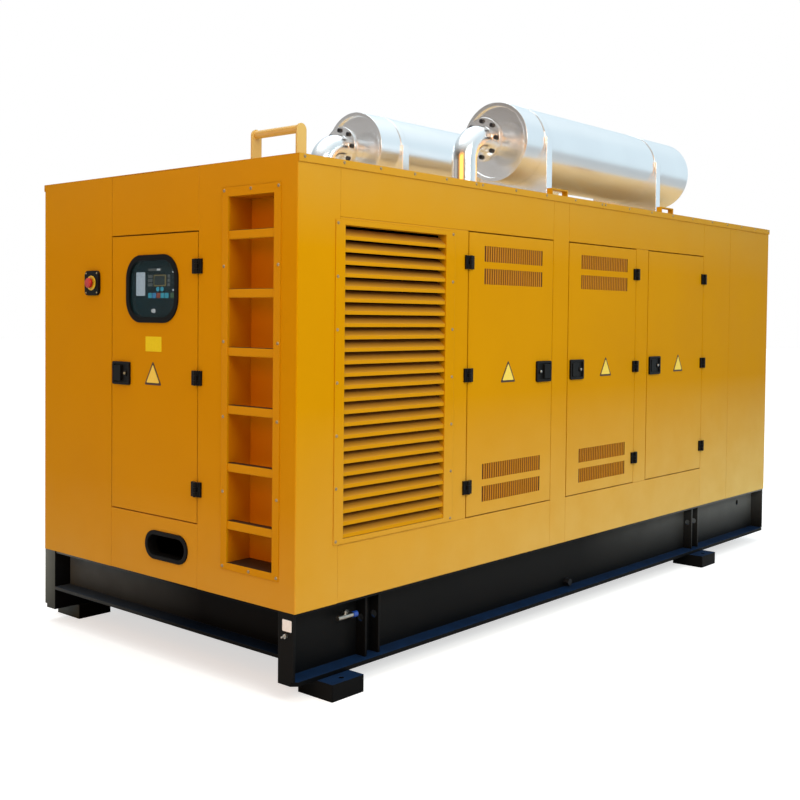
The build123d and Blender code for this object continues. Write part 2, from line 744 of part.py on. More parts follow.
def louvre_blades(opening, opening_z):
    """Slanted rain blades, each with an upright lip at its outer edge."""
    blades = []
    room = opening_z[1] - opening_z[0] - BLADE_FOOT - BLADE_LIP - BLADE_RISE - BLADE_SHEET
    for index in range(1 + int(room / BLADE_PITCH)):
        foot = opening_z[0] + BLADE_FOOT + index * BLADE_PITCH
        fold = foot + BLADE_LIP
        outline = Polyline(
            (0, foot),
            (BLADE_SHEET, foot),
            (BLADE_SHEET, fold),
            (BLADE_RUN, fold + BLADE_RISE),
            (BLADE_RUN, fold + BLADE_RISE + BLADE_SHEET),
            (0, fold + BLADE_SHEET),
            close=True,
        )
        section = Plane.YZ.offset(opening[0]) * make_face(outline)
        blades.append(extrude(section, opening[1] - opening[0]))
    return blades


def long_sides():
    """Wall panels, posts and louvres of both long sides."""
    heights = ((0, SILL), (HEAD, WALL_TOP))
    spans = ((LOUVRE_BAY[0], DOOR_1[1]), (DOOR_2[0], DOOR_3[1]))
    panels = [panel(span, height) for span in spans for height in heights]
    posts = [panel(POST, (0, WALL_TOP)), panel(STRIP, (SILL, HEAD)), panel(TAIL, (0, WALL_TOP))]
    opening = (LOUVRE_BAY[0] + LOUVRE_SETIN_LEFT, LOUVRE_BAY[1] - LOUVRE_SETIN_RIGHT)
    flange = (opening[0] - LOUVRE_FLANGE_LEFT, opening[1] + LOUVRE_FLANGE_RIGHT)
    frame = louvre_frame(LOUVRE_BAY, (SILL, HEAD), opening, LOUVRE_HEIGHTS, flange)
    blades = louvre_blades(opening, LOUVRE_HEIGHTS)
    save("side_panels", *panels, *[to_far(piece) for piece in panels])
    save("side_posts", *posts, *[to_far(piece) for piece in posts])
    save("side_louvre_frames", frame, to_far(frame))
    save("front_louvre_blades", *blades)
    save("far_louvre_blades", *[to_far(piece) for piece in blades])


def back_end():
    """Columns, panels and discharge louvre of the back end."""
    column = mirror(corner_column(BACK_COLUMN_SIDE_LEG, BACK_COLUMN_END_LEG), about=MIDDLE_PLANE)
    save("back_columns", column, to_far(column))
    bay = shrunk((0, WIDTH), BACK_COLUMN_END_LEG)
    bay_z = (BACK_SILL, HEIGHT - BACK_HEAD_DROP)
    opening = shrunk(bay, BACK_OPENING_SETIN)
    flange = shrunk(opening, -LOUVRE_FLANGE_LEFT)
    panels = (panel(bay, (0, bay_z[0])), panel(bay, (bay_z[1], WALL_TOP)))
    save("back_panels", *[to_back(piece) for piece in panels])
    save("back_louvre_frame", to_back(louvre_frame(bay, bay_z, opening, LOUVRE_HEIGHTS, flange)))
    save("back_louvre_blades", *[to_back(blade) for blade in louvre_blades(opening, LOUVRE_HEIGHTS)])


def roof():
    """Roof sheets with their side lips, the grab handle and the lashing loops."""
    sheets = []
    joints = [share * LENGTH for share in ROOF_JOINT_SHARES]
    for start, end in zip(joints, joints[1:]):
        x = (start + ROOF_GAP if start else start, end)
        plate = block(x, (-LIP_SHEET, WIDTH + LIP_SHEET), (WALL_TOP, HEIGHT))
        lip = block(x, (-LIP_SHEET, 0), (HEIGHT - LIP_DROP, WALL_TOP))
        sheets.append(plate + lip + to_far(lip))
    save("roof_sheets", *sheets)

    half = HANDLE_POST_WIDE / 2
    posts_y = from_start(HANDLE_Y, HANDLE_SPAN)
    handle = rod_y(HANDLE_X, posts_y, HEIGHT + HANDLE_TALL - HANDLE_BAR_DROP, HANDLE_BAR_RADIUS)
    for y in posts_y:
        post_y = about(y, HANDLE_POST_THICK / 2)
        round_z = HEIGHT + HANDLE_TALL - half
        handle = handle + block(about(HANDLE_X, half), post_y, (HEIGHT, round_z))
        handle = handle + rod_y(HANDLE_X, post_y, round_z, half)
    save("grab_handle", handle)

    loops = []
    for start in (LOOP_FRONT_X, LENGTH - LOOP_REAR_SETIN):
        x = from_start(start, LOOP_LONG)
        y = from_start(LOOP_SETIN, LOOP_WIDE)
        eye = block(shrunk(x, LOOP_STRAP), y, (HEIGHT, HEIGHT + LOOP_TALL - LOOP_STRAP))
        loop = block(x, y, from_start(HEIGHT, LOOP_TALL)) - eye
        loops.extend((loop, to_far(loop)))
    save("roof_loops", *loops)


def silencer_body():
    """Drum with a dished front end and a domed back end, along x from the middle of its front."""
    with BuildLine() as half_section:
        Polyline(
            (SILENCER_DISH, 0),
            (SILENCER_DISH, SILENCER_RADIUS - SILENCER_RIM),
            (0, SILENCER_RADIUS - SILENCER_RIM),
            (0, SILENCER_RADIUS),
            (SILENCER_BODY, SILENCER_RADIUS),
        )
        EllipticalCenterArc((SILENCER_BODY, 0), SILENCER_DOME, SILENCER_RADIUS, arc_size=QUARTER_TURN)
        Line((SILENCER_BODY + SILENCER_DOME, 0), (SILENCER_DISH, 0))
    return revolve(Plane.XZ * make_face(half_section.line), Axis.X)


def saddle(start):
    """Folded sheet saddle with the strap that holds the drum down on it."""
    x = from_start(start, SADDLE_WIDE)
    y = about(0, SILENCER_RADIUS + SADDLE_CLEAR)
    foot = -SILENCER_AXIS
    sheet = block(x, y, from_start(foot, SADDLE_TALL))
    inner_z = (foot + SADDLE_SHEET, foot + SADDLE_TALL)
    sheet = sheet - block((x[0] + SADDLE_SHEET, x[1]), shrunk(y, SADDLE_SHEET), inner_z)
    strap = rod_x(from_start(start, STRAP_WIDE), 0, 0, SILENCER_RADIUS + STRAP_SHEET)
    return sheet + strap - rod_x(x, 0, 0, SILENCER_RADIUS)


def exhaust_elbow():
    """Pipe from the front of a drum, through a bolted flange and a bend, down to a collar on the roof."""
    turn_x = BEND_RADIUS - PIPE_DROP_X
    neck = rod_x((turn_x, SILENCER_DISH), 0, 0, PIPE_RADIUS)
    ring = Plane(origin=(turn_x, 0, 0), z_dir=(1, 0, 0)) * Circle(PIPE_RADIUS)
    bend = revolve(ring, Axis((turn_x, 0, -BEND_RADIUS), (0, -1, 0)), QUARTER_TURN)
    drop = rod_z(-PIPE_DROP_X, 0, (-SILENCER_AXIS, -BEND_RADIUS), PIPE_RADIUS)
    collar = rod_z(-PIPE_DROP_X, 0, from_start(-SILENCER_AXIS, COLLAR), COLLAR_RADIUS)
    flange = rod_x(from_start(-PIPE_FLANGE_OUT, PIPE_FLANGE), 0, 0, PIPE_FLANGE_RADIUS)
    return neck + bend + drop + collar + flange


def silencers():
    """Two silencers, staggered along the roof, with their saddles and exhaust elbows."""
    start = LENGTH - SILENCER_REAR_SETIN - SILENCER_DOME - SILENCER_BODY
    near = Pos(start, MID_Y - SILENCER_OFF_CENTRE, HEIGHT + SILENCER_AXIS)
    far = Pos(start - SILENCER_STAGGER, MID_Y + SILENCER_OFF_CENTRE, HEIGHT + SILENCER_AXIS)
    places = (near, far)
    offsets = (SADDLE_FRONT, SADDLE_REAR)
    save("silencers", *[place * silencer_body() for place in places])
    save("silencer_saddles", *[place * saddle(offset) for place in places for offset in offsets])
    save("exhaust_elbows", *[place * exhaust_elbow() for place in places])


def alternator():
    """Round alternator with its terminal box on top and feet on the rails."""
    x = from_start(ALTERNATOR_START, ALTERNATOR_LONG)
    terminals_x = from_start(ALTERNATOR_START + TERMINAL_SETIN, TERMINAL_LONG)
    shell = rod_x(x, MID_Y, SHAFT_Z, ALTERNATOR_RADIUS)
    shell = chamfer(shell.edges().sort_by(Axis.X)[0], ALTERNATOR_BEVEL)
    terminals = block(terminals_x, about(MID_Y, TERMINAL_HALF), from_start(SHAFT_Z, TERMINAL_TALL))
    base = block(terminals_x, about(MID_Y, RAIL_OUTER), from_start(RAIL_TALL, MACHINE_FOOT))
    save("alternator", shell + terminals + base)


def engine():
    """Vee engine with its flywheel housing, sump, feet on the rails and fan."""
    start = ALTERNATOR_START + ALTERNATOR_LONG
    x = (start + FLYWHEEL_LONG, ENGINE_END)
    flare_z = RAIL_TALL + SUMP_TALL + CRANKCASE_FLARE
    half_section = Polyline(
        (0, RAIL_TALL + SUMP_LIFT),
        (SUMP_HALF, RAIL_TALL + SUMP_LIFT),
        (SUMP_HALF, RAIL_TALL + SUMP_TALL),
        (CRANKCASE_HALF, flare_z),
        (CRANKCASE_HALF, RAIL_TALL + ENGINE_TALL),
        (0, RAIL_TALL + ENGINE_TALL),
        close=True,
    )
    plane = Plane(origin=(x[0], MID_Y, 0), x_dir=(0, 1, 0), z_dir=(1, 0, 0))
    half_case = extrude(plane * make_face(half_section), x[1] - x[0])
    body = half_case + to_far(half_case) + rod_x((start, x[0]), MID_Y, SHAFT_Z, FLYWHEEL_RADIUS)
    bank = Box(x[1] - x[0] - 2 * BANK_SETIN, BANK_WIDE, BANK_TALL, align=STANDING)
    for way in (-1, 1):
        root = Pos(centre(x), MID_Y, RAIL_TALL + ENGINE_TALL - BANK_SETIN)
        body = body + root * Rot(way * BANK_TILT, 0, 0) * bank
    for foot_start in (x[0] + ENGINE_FOOT_SETIN, x[1] - ENGINE_FOOT_SETIN - ENGINE_FOOT_LONG):
        foot_x = from_start(foot_start, ENGINE_FOOT_LONG)
        body = body + block(foot_x, about(MID_Y, RAIL_OUTER), from_start(RAIL_TALL, MACHINE_FOOT))
    fan_x = from_start(RADIATOR_X[0] - FAN_SETIN - FAN_THICK, FAN_THICK)
    body = body + rod_x((x[1], fan_x[1]), MID_Y, SHAFT_Z, FAN_SHAFT_RADIUS)
    save("engine", body + rod_x(fan_x, MID_Y, SHAFT_Z, SHROUD_RADIUS - SHROUD_SHEET - SHROUD_PLAY))


def radiator():
    """Radiator core between its tanks, with the round shroud of the fan."""
    core_y = about(MID_Y, RADIATOR_HALF)
    top = HEIGHT - RADIATOR_HEAD_DROP
    tank_x = shrunk(RADIATOR_X, -RADIATOR_TANK_PROUD)
    body = block(RADIATOR_X, core_y, (0, top))
    for tank_foot in (0, top - RADIATOR_TANK):
        body = body + block(tank_x, core_y, from_start(tank_foot, RADIATOR_TANK))
    shroud_x = (RADIATOR_X[0] - SHROUD_DEEP, RADIATOR_X[0])
    shroud = rod_x(shroud_x, MID_Y, SHAFT_Z, SHROUD_RADIUS)
    save("radiator", body + shroud - rod_x(shroud_x, MID_Y, SHAFT_Z, SHROUD_RADIUS - SHROUD_SHEET))


os.makedirs("parts", exist_ok=True)
skid_beams()
feet()
beam_fittings()
ladder_corner()
control_end()
save("hinge_leaves", *control_door(), *side_doors())
long_sides()
back_end()
roof()
silencers()
alternator()
engine()
radiator()
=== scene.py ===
import math

import bmesh
import bpy
from mathutils import Matrix, Vector


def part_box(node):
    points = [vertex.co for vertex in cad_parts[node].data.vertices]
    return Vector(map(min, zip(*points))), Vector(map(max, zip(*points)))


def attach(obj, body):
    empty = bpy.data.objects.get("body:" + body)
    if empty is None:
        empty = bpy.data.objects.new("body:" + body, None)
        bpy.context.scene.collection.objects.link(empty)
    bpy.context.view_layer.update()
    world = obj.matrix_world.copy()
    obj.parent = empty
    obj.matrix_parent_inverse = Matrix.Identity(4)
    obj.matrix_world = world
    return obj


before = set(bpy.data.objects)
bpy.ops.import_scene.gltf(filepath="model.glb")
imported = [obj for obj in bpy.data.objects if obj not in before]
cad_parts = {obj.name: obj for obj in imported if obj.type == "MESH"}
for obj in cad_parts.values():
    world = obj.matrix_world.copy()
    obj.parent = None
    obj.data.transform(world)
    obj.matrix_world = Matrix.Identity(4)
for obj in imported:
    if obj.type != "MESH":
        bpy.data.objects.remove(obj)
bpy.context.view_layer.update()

# Skid base.
# Side and end beams of folded and welded steel channel on four short feet, with a deck plate inside
# and pairs of lifting plates. It is sprayed satin black. A painted blue-grey reflection of the sky
# lies on its flanges. The side webs turn paler grey towards the back end and are darker low down, a
# painted shade. The beam ends and end beam webs towards the far side are painted paler, painted
# light from that side, and the end beams are a darker copy of the paint, a painted shade.


def add(tree, kind, sockets=None, **settings):
    made = tree.nodes.new(kind)
    for key, value in settings.items():
        setattr(made, key, value)
    for key, value in (sockets or {}).items():
        if isinstance(value, bpy.types.NodeSocket):
            tree.links.new(value, made.inputs[key])
        else:
            made.inputs[key].default_value = value
    return made


def open_group(name, inputs, outputs):
    tree = bpy.data.node_groups.new(name, "ShaderNodeTree")
    for socket, kind, value in inputs:
        made = tree.interface.new_socket(socket, in_out="INPUT", socket_type="NodeSocket" + kind)
        made.default_value = value
    for socket, kind in outputs:
        tree.interface.new_socket(socket, in_out="OUTPUT", socket_type="NodeSocket" + kind)
    entry = tree.nodes.new("NodeGroupInput")
    leave = tree.nodes.new("NodeGroupOutput")
    return tree, entry.outputs, leave.inputs


def remap(tree, value, low, high, bottom=0.0, top=1.0):
    sockets = {0: value, 1: low, 2: high, 3: bottom, 4: top}
    return add(tree, "ShaderNodeMapRange", sockets).outputs[0]


def multiply(tree, first, second):
    return add(tree, "ShaderNodeMath", {0: first, 1: second}, operation="MULTIPLY").outputs[0]


def noise(tree, scale, detail):
    place = add(tree, "ShaderNodeTexCoord").outputs["Object"]
    sockets = {"Vector": place, "Scale": scale, "Detail": detail}
    return add(tree, "ShaderNodeTexNoise", sockets).outputs["Fac"]


rolled_edges, given, result = open_group(
    "rolled edges",
    [("Radius", "Float", 0.003)],
    [("Normal", "Vector"), ("Edge", "Float")],
)
rounding = add(rolled_edges, "ShaderNodeBevel", {"Radius": given["Radius"]}, samples=4)
flat_face = add(rolled_edges, "ShaderNodeNewGeometry")
facing_pair = {0: rounding.outputs[0], 1: flat_face.outputs["Normal"]}
agreement = add(rolled_edges, "ShaderNodeVectorMath", facing_pair, operation="DOT_PRODUCT")
rolled_edges.links.new(rounding.outputs[0], result["Normal"])
edge_share = remap(rolled_edges, agreement.outputs["Value"], 0.995, 0.8)
rolled_edges.links.new(edge_share, result["Edge"])

mottle, given, result = open_group("mottle", [("Scale", "Float", 3.0)], [("Patch", "Float")])
broad = noise(mottle, given["Scale"], 4.0)
mottle.links.new(remap(mottle, broad, 0.32, 0.68), result["Patch"])

# Upward faces: dust, and on the black base a painted reflection of the sky.
settled_dust_and_sheen, given, result = open_group(
    "settled dust",
    [("Amount", "Float", 0.4), ("Scale", "Float", 9.0)],
    [("Mask", "Float")],
)
normal = add(settled_dust_and_sheen, "ShaderNodeTexCoord").outputs["Normal"]
upward = add(settled_dust_and_sheen, "ShaderNodeSeparateXYZ", {0: normal}).outputs["Z"]
lying = remap(settled_dust_and_sheen, upward, 0.35, 0.95)
patchy = remap(settled_dust_and_sheen, noise(settled_dust_and_sheen, given["Scale"], 8.0), 0.3, 0.7, 0.6, 1.0)
cover = multiply(settled_dust_and_sheen, multiply(settled_dust_and_sheen, lying, patchy), given["Amount"])
settled_dust_and_sheen.links.new(cover, result["Mask"])

# A film that fades with height, along the length and across the width; it carries painted reflection,
# painted light and painted shade.
light_and_dust_film, given, result = open_group(
    "dust film",
    [
        ("Low", "Float", 0.0),
        ("High", "Float", 0.5),
        ("Amount", "Float", 0.5),
        ("Start Share", "Float", 1.0),
        ("Near Share", "Float", 1.0),
        ("End Face Share", "Float", 0.3),
        ("Side Face Share", "Float", 1.0),
    ],
    [("Mask", "Float")],
)
HALF_LENGTH = 2.5
HALF_WIDTH = 1.0
coordinates = add(light_and_dust_film, "ShaderNodeTexCoord").outputs
place = add(light_and_dust_film, "ShaderNodeSeparateXYZ", {0: coordinates["Object"]}).outputs
turned = add(light_and_dust_film, "ShaderNodeSeparateXYZ", {0: coordinates["Normal"]}).outputs["Y"]
sideways = add(light_and_dust_film, "ShaderNodeMath", {0: turned}, operation="ABSOLUTE").outputs[0]
fading = remap(light_and_dust_film, place["Z"], given["High"], given["Low"])
lengthwise = remap(light_and_dust_film, place["X"], -HALF_LENGTH, HALF_LENGTH, given["Start Share"])
crosswise = remap(light_and_dust_film, place["Y"], -HALF_WIDTH, HALF_WIDTH, given["Near Share"])
patchy = remap(light_and_dust_film, noise(light_and_dust_film, 5.0, 5.0), 0.25, 0.75, 0.7, 1.0)
cover = multiply(light_and_dust_film, multiply(light_and_dust_film, fading, patchy), given["Amount"])
cover = multiply(light_and_dust_film, cover, multiply(light_and_dust_film, lengthwise, crosswise))
face_share = remap(light_and_dust_film, sideways, 0.2, 0.8, given["End Face Share"], given["Side Face Share"])
cover = multiply(light_and_dust_film, cover, face_share)
light_and_dust_film.links.new(cover, result["Mask"])

fine_grain, given, result = open_group(
    "fine grain",
    [("Scale", "Float", 600.0), ("Depth", "Float", 0.0002), ("Normal", "Vector", (0.0, 0.0, 0.0))],
    [("Normal", "Vector")],
)
sockets = {"Height": noise(fine_grain, given["Scale"], 2.0), "Normal": given["Normal"]}
sockets.update({"Strength": 0.5, "Distance": given["Depth"]})
fine_grain.links.new(add(fine_grain, "ShaderNodeBump", sockets).outputs[0], result["Normal"])


def call(tree, group, sockets):
    return add(tree, "ShaderNodeGroup", sockets, node_tree=group).outputs


def mix_colour(tree, share, first, second):
    sockets = {0: share, 6: first, 7: second}
    return add(tree, "ShaderNodeMix", sockets, data_type="RGBA").outputs[2]


def new_finish(name, **plain):
    material = bpy.data.materials.new(name)
    material.use_nodes = True
    shader = material.node_tree.nodes["Principled BSDF"]
    for key, value in plain.items():
        shader.inputs[key.replace("_", " ")].default_value = value
    return material, material.node_tree, shader.inputs


COAT_PATCHES = 2.3
DUST_PATCHES = 11.0
EDGE_HIGHLIGHT_SHARE = 0.5


def coated(name, colour, patch, edge, dust_and_sheen, dust_amount, gloss, grain, radius, films=(), **plain):
    material, tree, shader = new_finish(name, **plain)
    edges = call(tree, rolled_edges, {"Radius": radius})
    patches = call(tree, mottle, {"Scale": COAT_PATCHES})["Patch"]
    dusty = call(tree, settled_dust_and_sheen, {"Amount": dust_amount, "Scale": DUST_PATCHES})["Mask"]
    tone = mix_colour(tree, patches, (*colour, 1), (*patch, 1))
    # Lighter along rounded edges: painted highlight.
    tone = mix_colour(tree, multiply(tree, edges["Edge"], EDGE_HIGHLIGHT_SHARE), tone, (*edge, 1))
    for tint, spread in films:
        tone = mix_colour(tree, call(tree, light_and_dust_film, spread)["Mask"], tone, (*tint, 1))
    # Tone on upward faces: dust, and on the black base a painted reflection of the sky.
    tone = mix_colour(tree, dusty, tone, (*dust_and_sheen, 1))
    tree.links.new(tone, shader["Base Color"])
    tree.links.new(remap(tree, patches, 0.0, 1.0, *gloss), shader["Roughness"])
    sockets = {"Scale": grain[0], "Depth": grain[1], "Normal": edges["Normal"]}
    tree.links.new(call(tree, fine_grain, sockets)["Normal"], shader["Normal"])
    return material


def mottled(name, scale, light, dark, gloss=None, **plain):
    material, tree, shader = new_finish(name, **plain)
    patches = call(tree, mottle, {"Scale": scale})["Patch"]
    tree.links.new(mix_colour(tree, patches, (*light, 1), (*dark, 1)), shader["Base Color"])
    if gloss:
        tree.links.new(remap(tree, patches, 0.0, 1.0, *gloss), shader["Roughness"])
    return material, tree, shader


def dress(material, *names):
    for name in names:
        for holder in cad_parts[name].material_slots:
            holder.material = material


black_sheen = {
    "edge": (0.02, 0.022, 0.026),
    "dust_amount": 0.55,
    "gloss": (0.34, 0.48),
    "grain": (420.0, 0.0003),
    "radius": 0.004,
}
# The side webs turn paler grey towards the back end and the top.
web_pale_film = {"Low": 0.42, "High": 0.08, "Amount": 1.0, "Start Share": -1.0}
# Darker low on the webs: painted shade.
web_foot_shade = {"Low": 0.08, "High": 0.32, "Amount": 0.9}
# Paler on the end faces at the far side: painted light falling from that side.
far_end_light = {"Low": 0.42, "High": -0.3, "Amount": 0.5, "Near Share": -8.0}
far_end_light.update({"End Face Share": 1.0, "Side Face Share": 0.0})
base_paint = coated(
    "satin black base paint",
    colour=(0.005, 0.0057, 0.0065),
    patch=(0.009, 0.009, 0.0088),
    # Blue-grey on upward faces: a painted reflection of the sky.
    dust_and_sheen=(0.01, 0.045, 0.14),
    films=[
        ((0.28, 0.28, 0.265), web_pale_film),
        ((0.0012, 0.0014, 0.002), web_foot_shade),
        ((0.36, 0.42, 0.4), far_end_light),
    ],
    Specular_IOR_Level=0.06,
    **black_sheen,
)
dress(base_paint, "base_side_beams", "base_deck", "foot_beams", "lifting_plates")

# Paler towards the far side of the end beam webs: painted light falling from that side.
end_web_light = {"Low": 0.42, "High": 0.08, "Amount": 1.4, "Near Share": -0.6}
# A darker copy of the base paint, with less painted sky reflection: painted shade on the end beams.
end_beam_paint = coated(
    "shaded satin black paint of the end beams",
    colour=(0.0028, 0.003, 0.0034),
    patch=(0.0045, 0.0046, 0.0048),
    dust_and_sheen=(0.004, 0.012, 0.03),
    films=[((0.42, 0.5, 0.55), end_web_light)],
    Specular_IOR_Level=0.04,
    **black_sheen,
)
dress(end_beam_paint, "base_end_beams")


def slab(centre, along, up, size, corner, thick, steps=4, bevel=0.0):
    out = along.cross(up)
    half_wide = size[0] / 2 - corner
    half_tall = size[1] / 2 - corner
    ring = []
    for turn, (side, rise) in enumerate([(1, 1), (-1, 1), (-1, -1), (1, -1)]):
        for step in range(steps + 1):
            angle = math.pi / 2 * (turn + step / steps)
            across = side * half_wide + corner * math.cos(angle)
            height = rise * half_tall + corner * math.sin(angle)
            ring.append((across, height))
    shape = bmesh.new()
    levels = [(0.0, 0.0), (thick - bevel, 0.0)]
    if bevel:
        levels.append((thick, bevel))
    loops = []
    for rise, drawn_in in levels:
        loop = []
        for across, height in ring:
            across -= math.copysign(drawn_in, across)
            height -= math.copysign(drawn_in, height)
            loop.append(shape.verts.new(centre + along * across + up * height + out * rise))
        loops.append(loop)
    count = len(ring)
    for lower, upper in zip(loops, loops[1:]):
        for i in range(count):
            j = (i + 1) % count
            shape.faces.new((lower[i], lower[j], upper[j], upper[i]))
    shape.faces.new(loops[-1])
    shape.faces.new(list(reversed(loops[0])))
    return shape


def add_piece(name, shape, material, body):
    bmesh.ops.recalc_face_normals(shape, faces=shape.faces)
    mesh = bpy.data.meshes.new(name)
    shape.to_mesh(mesh)
    shape.free()
    mesh.materials.append(material)
    piece = bpy.data.objects.new(name, mesh)
    bpy.context.scene.collection.objects.link(piece)
    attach(piece, body)


TO_FRONT = Vector((0, -1, 0))
UP = Vector((0, 0, 1))
beam_low, beam_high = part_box("base_side_beams")

plate_white, tree, shader = mottled(
    "white enamelled plate", 60.0, (0.95, 0.96, 0.97), (0.88, 0.89, 0.9), Roughness=0.45
)
PLATE_SIZE = (0.058, 0.051)
PLATE_SET_IN = 0.0485
PLATE_DROP = 0.0575
middle = Vector((beam_low.x, beam_low.y + PLATE_SET_IN, beam_high.z - PLATE_DROP))
plate = slab(middle, TO_FRONT, UP, PLATE_SIZE, corner=0.004, thick=0.0015, bevel=0.0005)
add_piece("beam_end_plate", plate, plate_white, "canopy")


# Bright zinc screws, bolts and studs.
# Pressed steel heads in a few sizes, zinc plated, laid out by one Geometry Nodes tree
# that sets a low, tapered head on each point along the way the point faces.


def open_layout(name, sizes):
    tree = bpy.data.node_groups.new(name, "GeometryNodeTree")
    tree.interface.new_socket("Points", in_out="INPUT", socket_type="NodeSocketGeometry")
    for socket, kind, value in sizes:
        made = tree.interface.new_socket(socket, in_out="INPUT", socket_type="NodeSocket" + kind)
        made.default_value = value
    tree.interface.new_socket("Finish", in_out="INPUT", socket_type="NodeSocketMaterial")
    tree.interface.new_socket("Pieces", in_out="OUTPUT", socket_type="NodeSocketGeometry")
    return tree, tree.nodes.new("NodeGroupInput").outputs


def close_layout(tree, given, instances):
    whole = add(tree, "GeometryNodeRealizeInstances", {0: instances}).outputs[0]
    sockets = {"Geometry": whole, "Material": given["Finish"]}
    finished = add(tree, "GeometryNodeSetMaterial", sockets).outputs[0]
    add(tree, "NodeGroupOutput", {0: finished})


def facing_turn(tree):
    way = add(tree, "GeometryNodeInputNamedAttribute", {"Name": "facing"}, data_type="FLOAT_VECTOR")
    sockets = {"Vector": way.outputs["Attribute"]}
    return add(tree, "FunctionNodeAlignRotationToVector", sockets, axis="Z").outputs[0]


def lay_out(name, tree, points, sizes, material, facing, body="canopy"):
    facings = facing if isinstance(facing, list) else [facing] * len(points)
    mesh = bpy.data.meshes.new(name)
    mesh.from_pydata(points, [], [])
    way = mesh.attributes.new("facing", "FLOAT_VECTOR", "POINT")
    way.data.foreach_set("vector", [part for one in facings for part in one])
    piece = bpy.data.objects.new(name, mesh)
    bpy.context.scene.collection.objects.link(piece)
    layout = piece.modifiers.new("layout", "NODES")
    layout.node_group = tree
    values = {**sizes, "Finish": material}
    for item in tree.interface.items_tree:
        if item.in_out == "INPUT" and item.name in values:
            layout[item.identifier] = values[item.name]
    settled = piece.evaluated_get(bpy.context.evaluated_depsgraph_get())
    whole = bpy.data.meshes.new_from_object(settled)
    piece.modifiers.remove(layout)
    piece.data = whole
    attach(piece, body)


screw_heads, given = open_layout(
    "screw heads",
    [
        ("Head Radius", "Float", 0.008),
        ("Head Height", "Float", 0.004),
        ("Sides", "Int", 12),
        ("Taper", "Float", 0.7),
    ],
)
head_sizes = {
    "Vertices": given["Sides"],
    "Radius Top": multiply(screw_heads, given["Head Radius"], given["Taper"]),
    "Radius Bottom": given["Head Radius"],
    "Depth": given["Head Height"],
}
head = add(screw_heads, "GeometryNodeMeshCone", head_sizes).outputs["Mesh"]
sockets = {"Points": given["Points"], "Instance": head, "Rotation": facing_turn(screw_heads)}
close_layout(screw_heads, given, add(screw_heads, "GeometryNodeInstanceOnPoints", sockets).outputs[0])

zinc, tree, shader = mottled(
    "bright zinc plate", 90.0, (0.66, 0.66, 0.64), (0.5, 0.5, 0.47), gloss=(0.24, 0.4), Metallic=1.0
)
grain = call(tree, fine_grain, {"Scale": 900.0, "Depth": 0.0001})
tree.links.new(grain["Normal"], shader["Normal"])
dull_zinc, tree, shader = mottled(
    "dulled zinc plate", 90.0, (0.42, 0.34, 0.2), (0.3, 0.22, 0.11), gloss=(0.38, 0.55), Metallic=0.7
)
small_screw = {"Head Radius": 0.008, "Head Height": 0.004, "Sides": 12, "Taper": 0.65}

TO_CONTROL_END = Vector((-1, 0, 0))
STUD_SET_IN = 0.052
STUD_DROP = 0.103
earth_stud = [Vector((beam_low.x, beam_low.y + STUD_SET_IN, beam_high.z - STUD_DROP))]
stud_nut = {"Head Radius": 0.011, "Head Height": 0.012, "Sides": 6, "Taper": 1.0}
lay_out("earth_stud", screw_heads, earth_stud, stud_nut, zinc, TO_CONTROL_END)
stud_end = {"Head Radius": 0.005, "Head Height": 0.03, "Sides": 10, "Taper": 0.9}
lay_out("earth_stud_end", screw_heads, earth_stud, stud_end, zinc, TO_CONTROL_END)


# Drain valve.
# A turned steel ball valve on a short pipe, screwed through the near beam's web beside the lifting
# plates. It is opened by a round handle moulded in blue plastic and pressed on its spindle.

valve_steel, tree, shader = mottled(
    "turned valve steel", 55.0, (0.52, 0.5, 0.45), (0.4, 0.37, 0.32), gloss=(0.28, 0.42), Metallic=1.0
)
VALVE_ROUNDING = {"Radius": 0.0015}
edges = call(tree, rolled_edges, VALVE_ROUNDING)
sockets = {"Scale": 700.0, "Depth": 0.0001, "Normal": edges["Normal"]}
tree.links.new(call(tree, fine_grain, sockets)["Normal"], shader["Normal"])
dress(valve_steel, "drain_valve")

handle_blue, tree, shader = mottled(
    "blue dipped plastic", 40.0, (0.008, 0.05, 0.32), (0.012, 0.07, 0.4), Roughness=0.3
)
tree.links.new(call(tree, rolled_edges, VALVE_ROUNDING)["Normal"], shader["Normal"])
dress(handle_blue, "drain_valve_lever")


# Drain plug.
# A blackened steel hexagon plug, low on the near beam's web and clear of the flange.
# It is screwed into the end of the sump's drain pipe.

plug_black, tree, shader = mottled(
    "black plug", 50.0, (0.008, 0.009, 0.012), (0.016, 0.017, 0.02), Metallic=0.4, Roughness=0.5
)
PLUG_ALONG = 2.328
PLUG_RISE = 0.046
WEB_SET_IN = 0.095
plug_place = [beam_low + Vector((PLUG_ALONG, WEB_SET_IN, PLUG_RISE))]
plug_size = {"Head Radius": 0.024, "Head Height": 0.03, "Sides": 6, "Taper": 0.92}
lay_out("drain_plug", screw_heads, plug_place, plug_size, plug_black, TO_FRONT)


# Canopy shell.
# Folded steel sheets and columns bolted into a box, all powder coated in one satin amber yellow and
# lined inside with dark foam. The coat has a faint orange-peel skin and a painted highlight along
# folds, and holds dust where it lies flat. Low on the walls and under the eaves it is painted paler,
# a painted reflection of the floor and the sky.

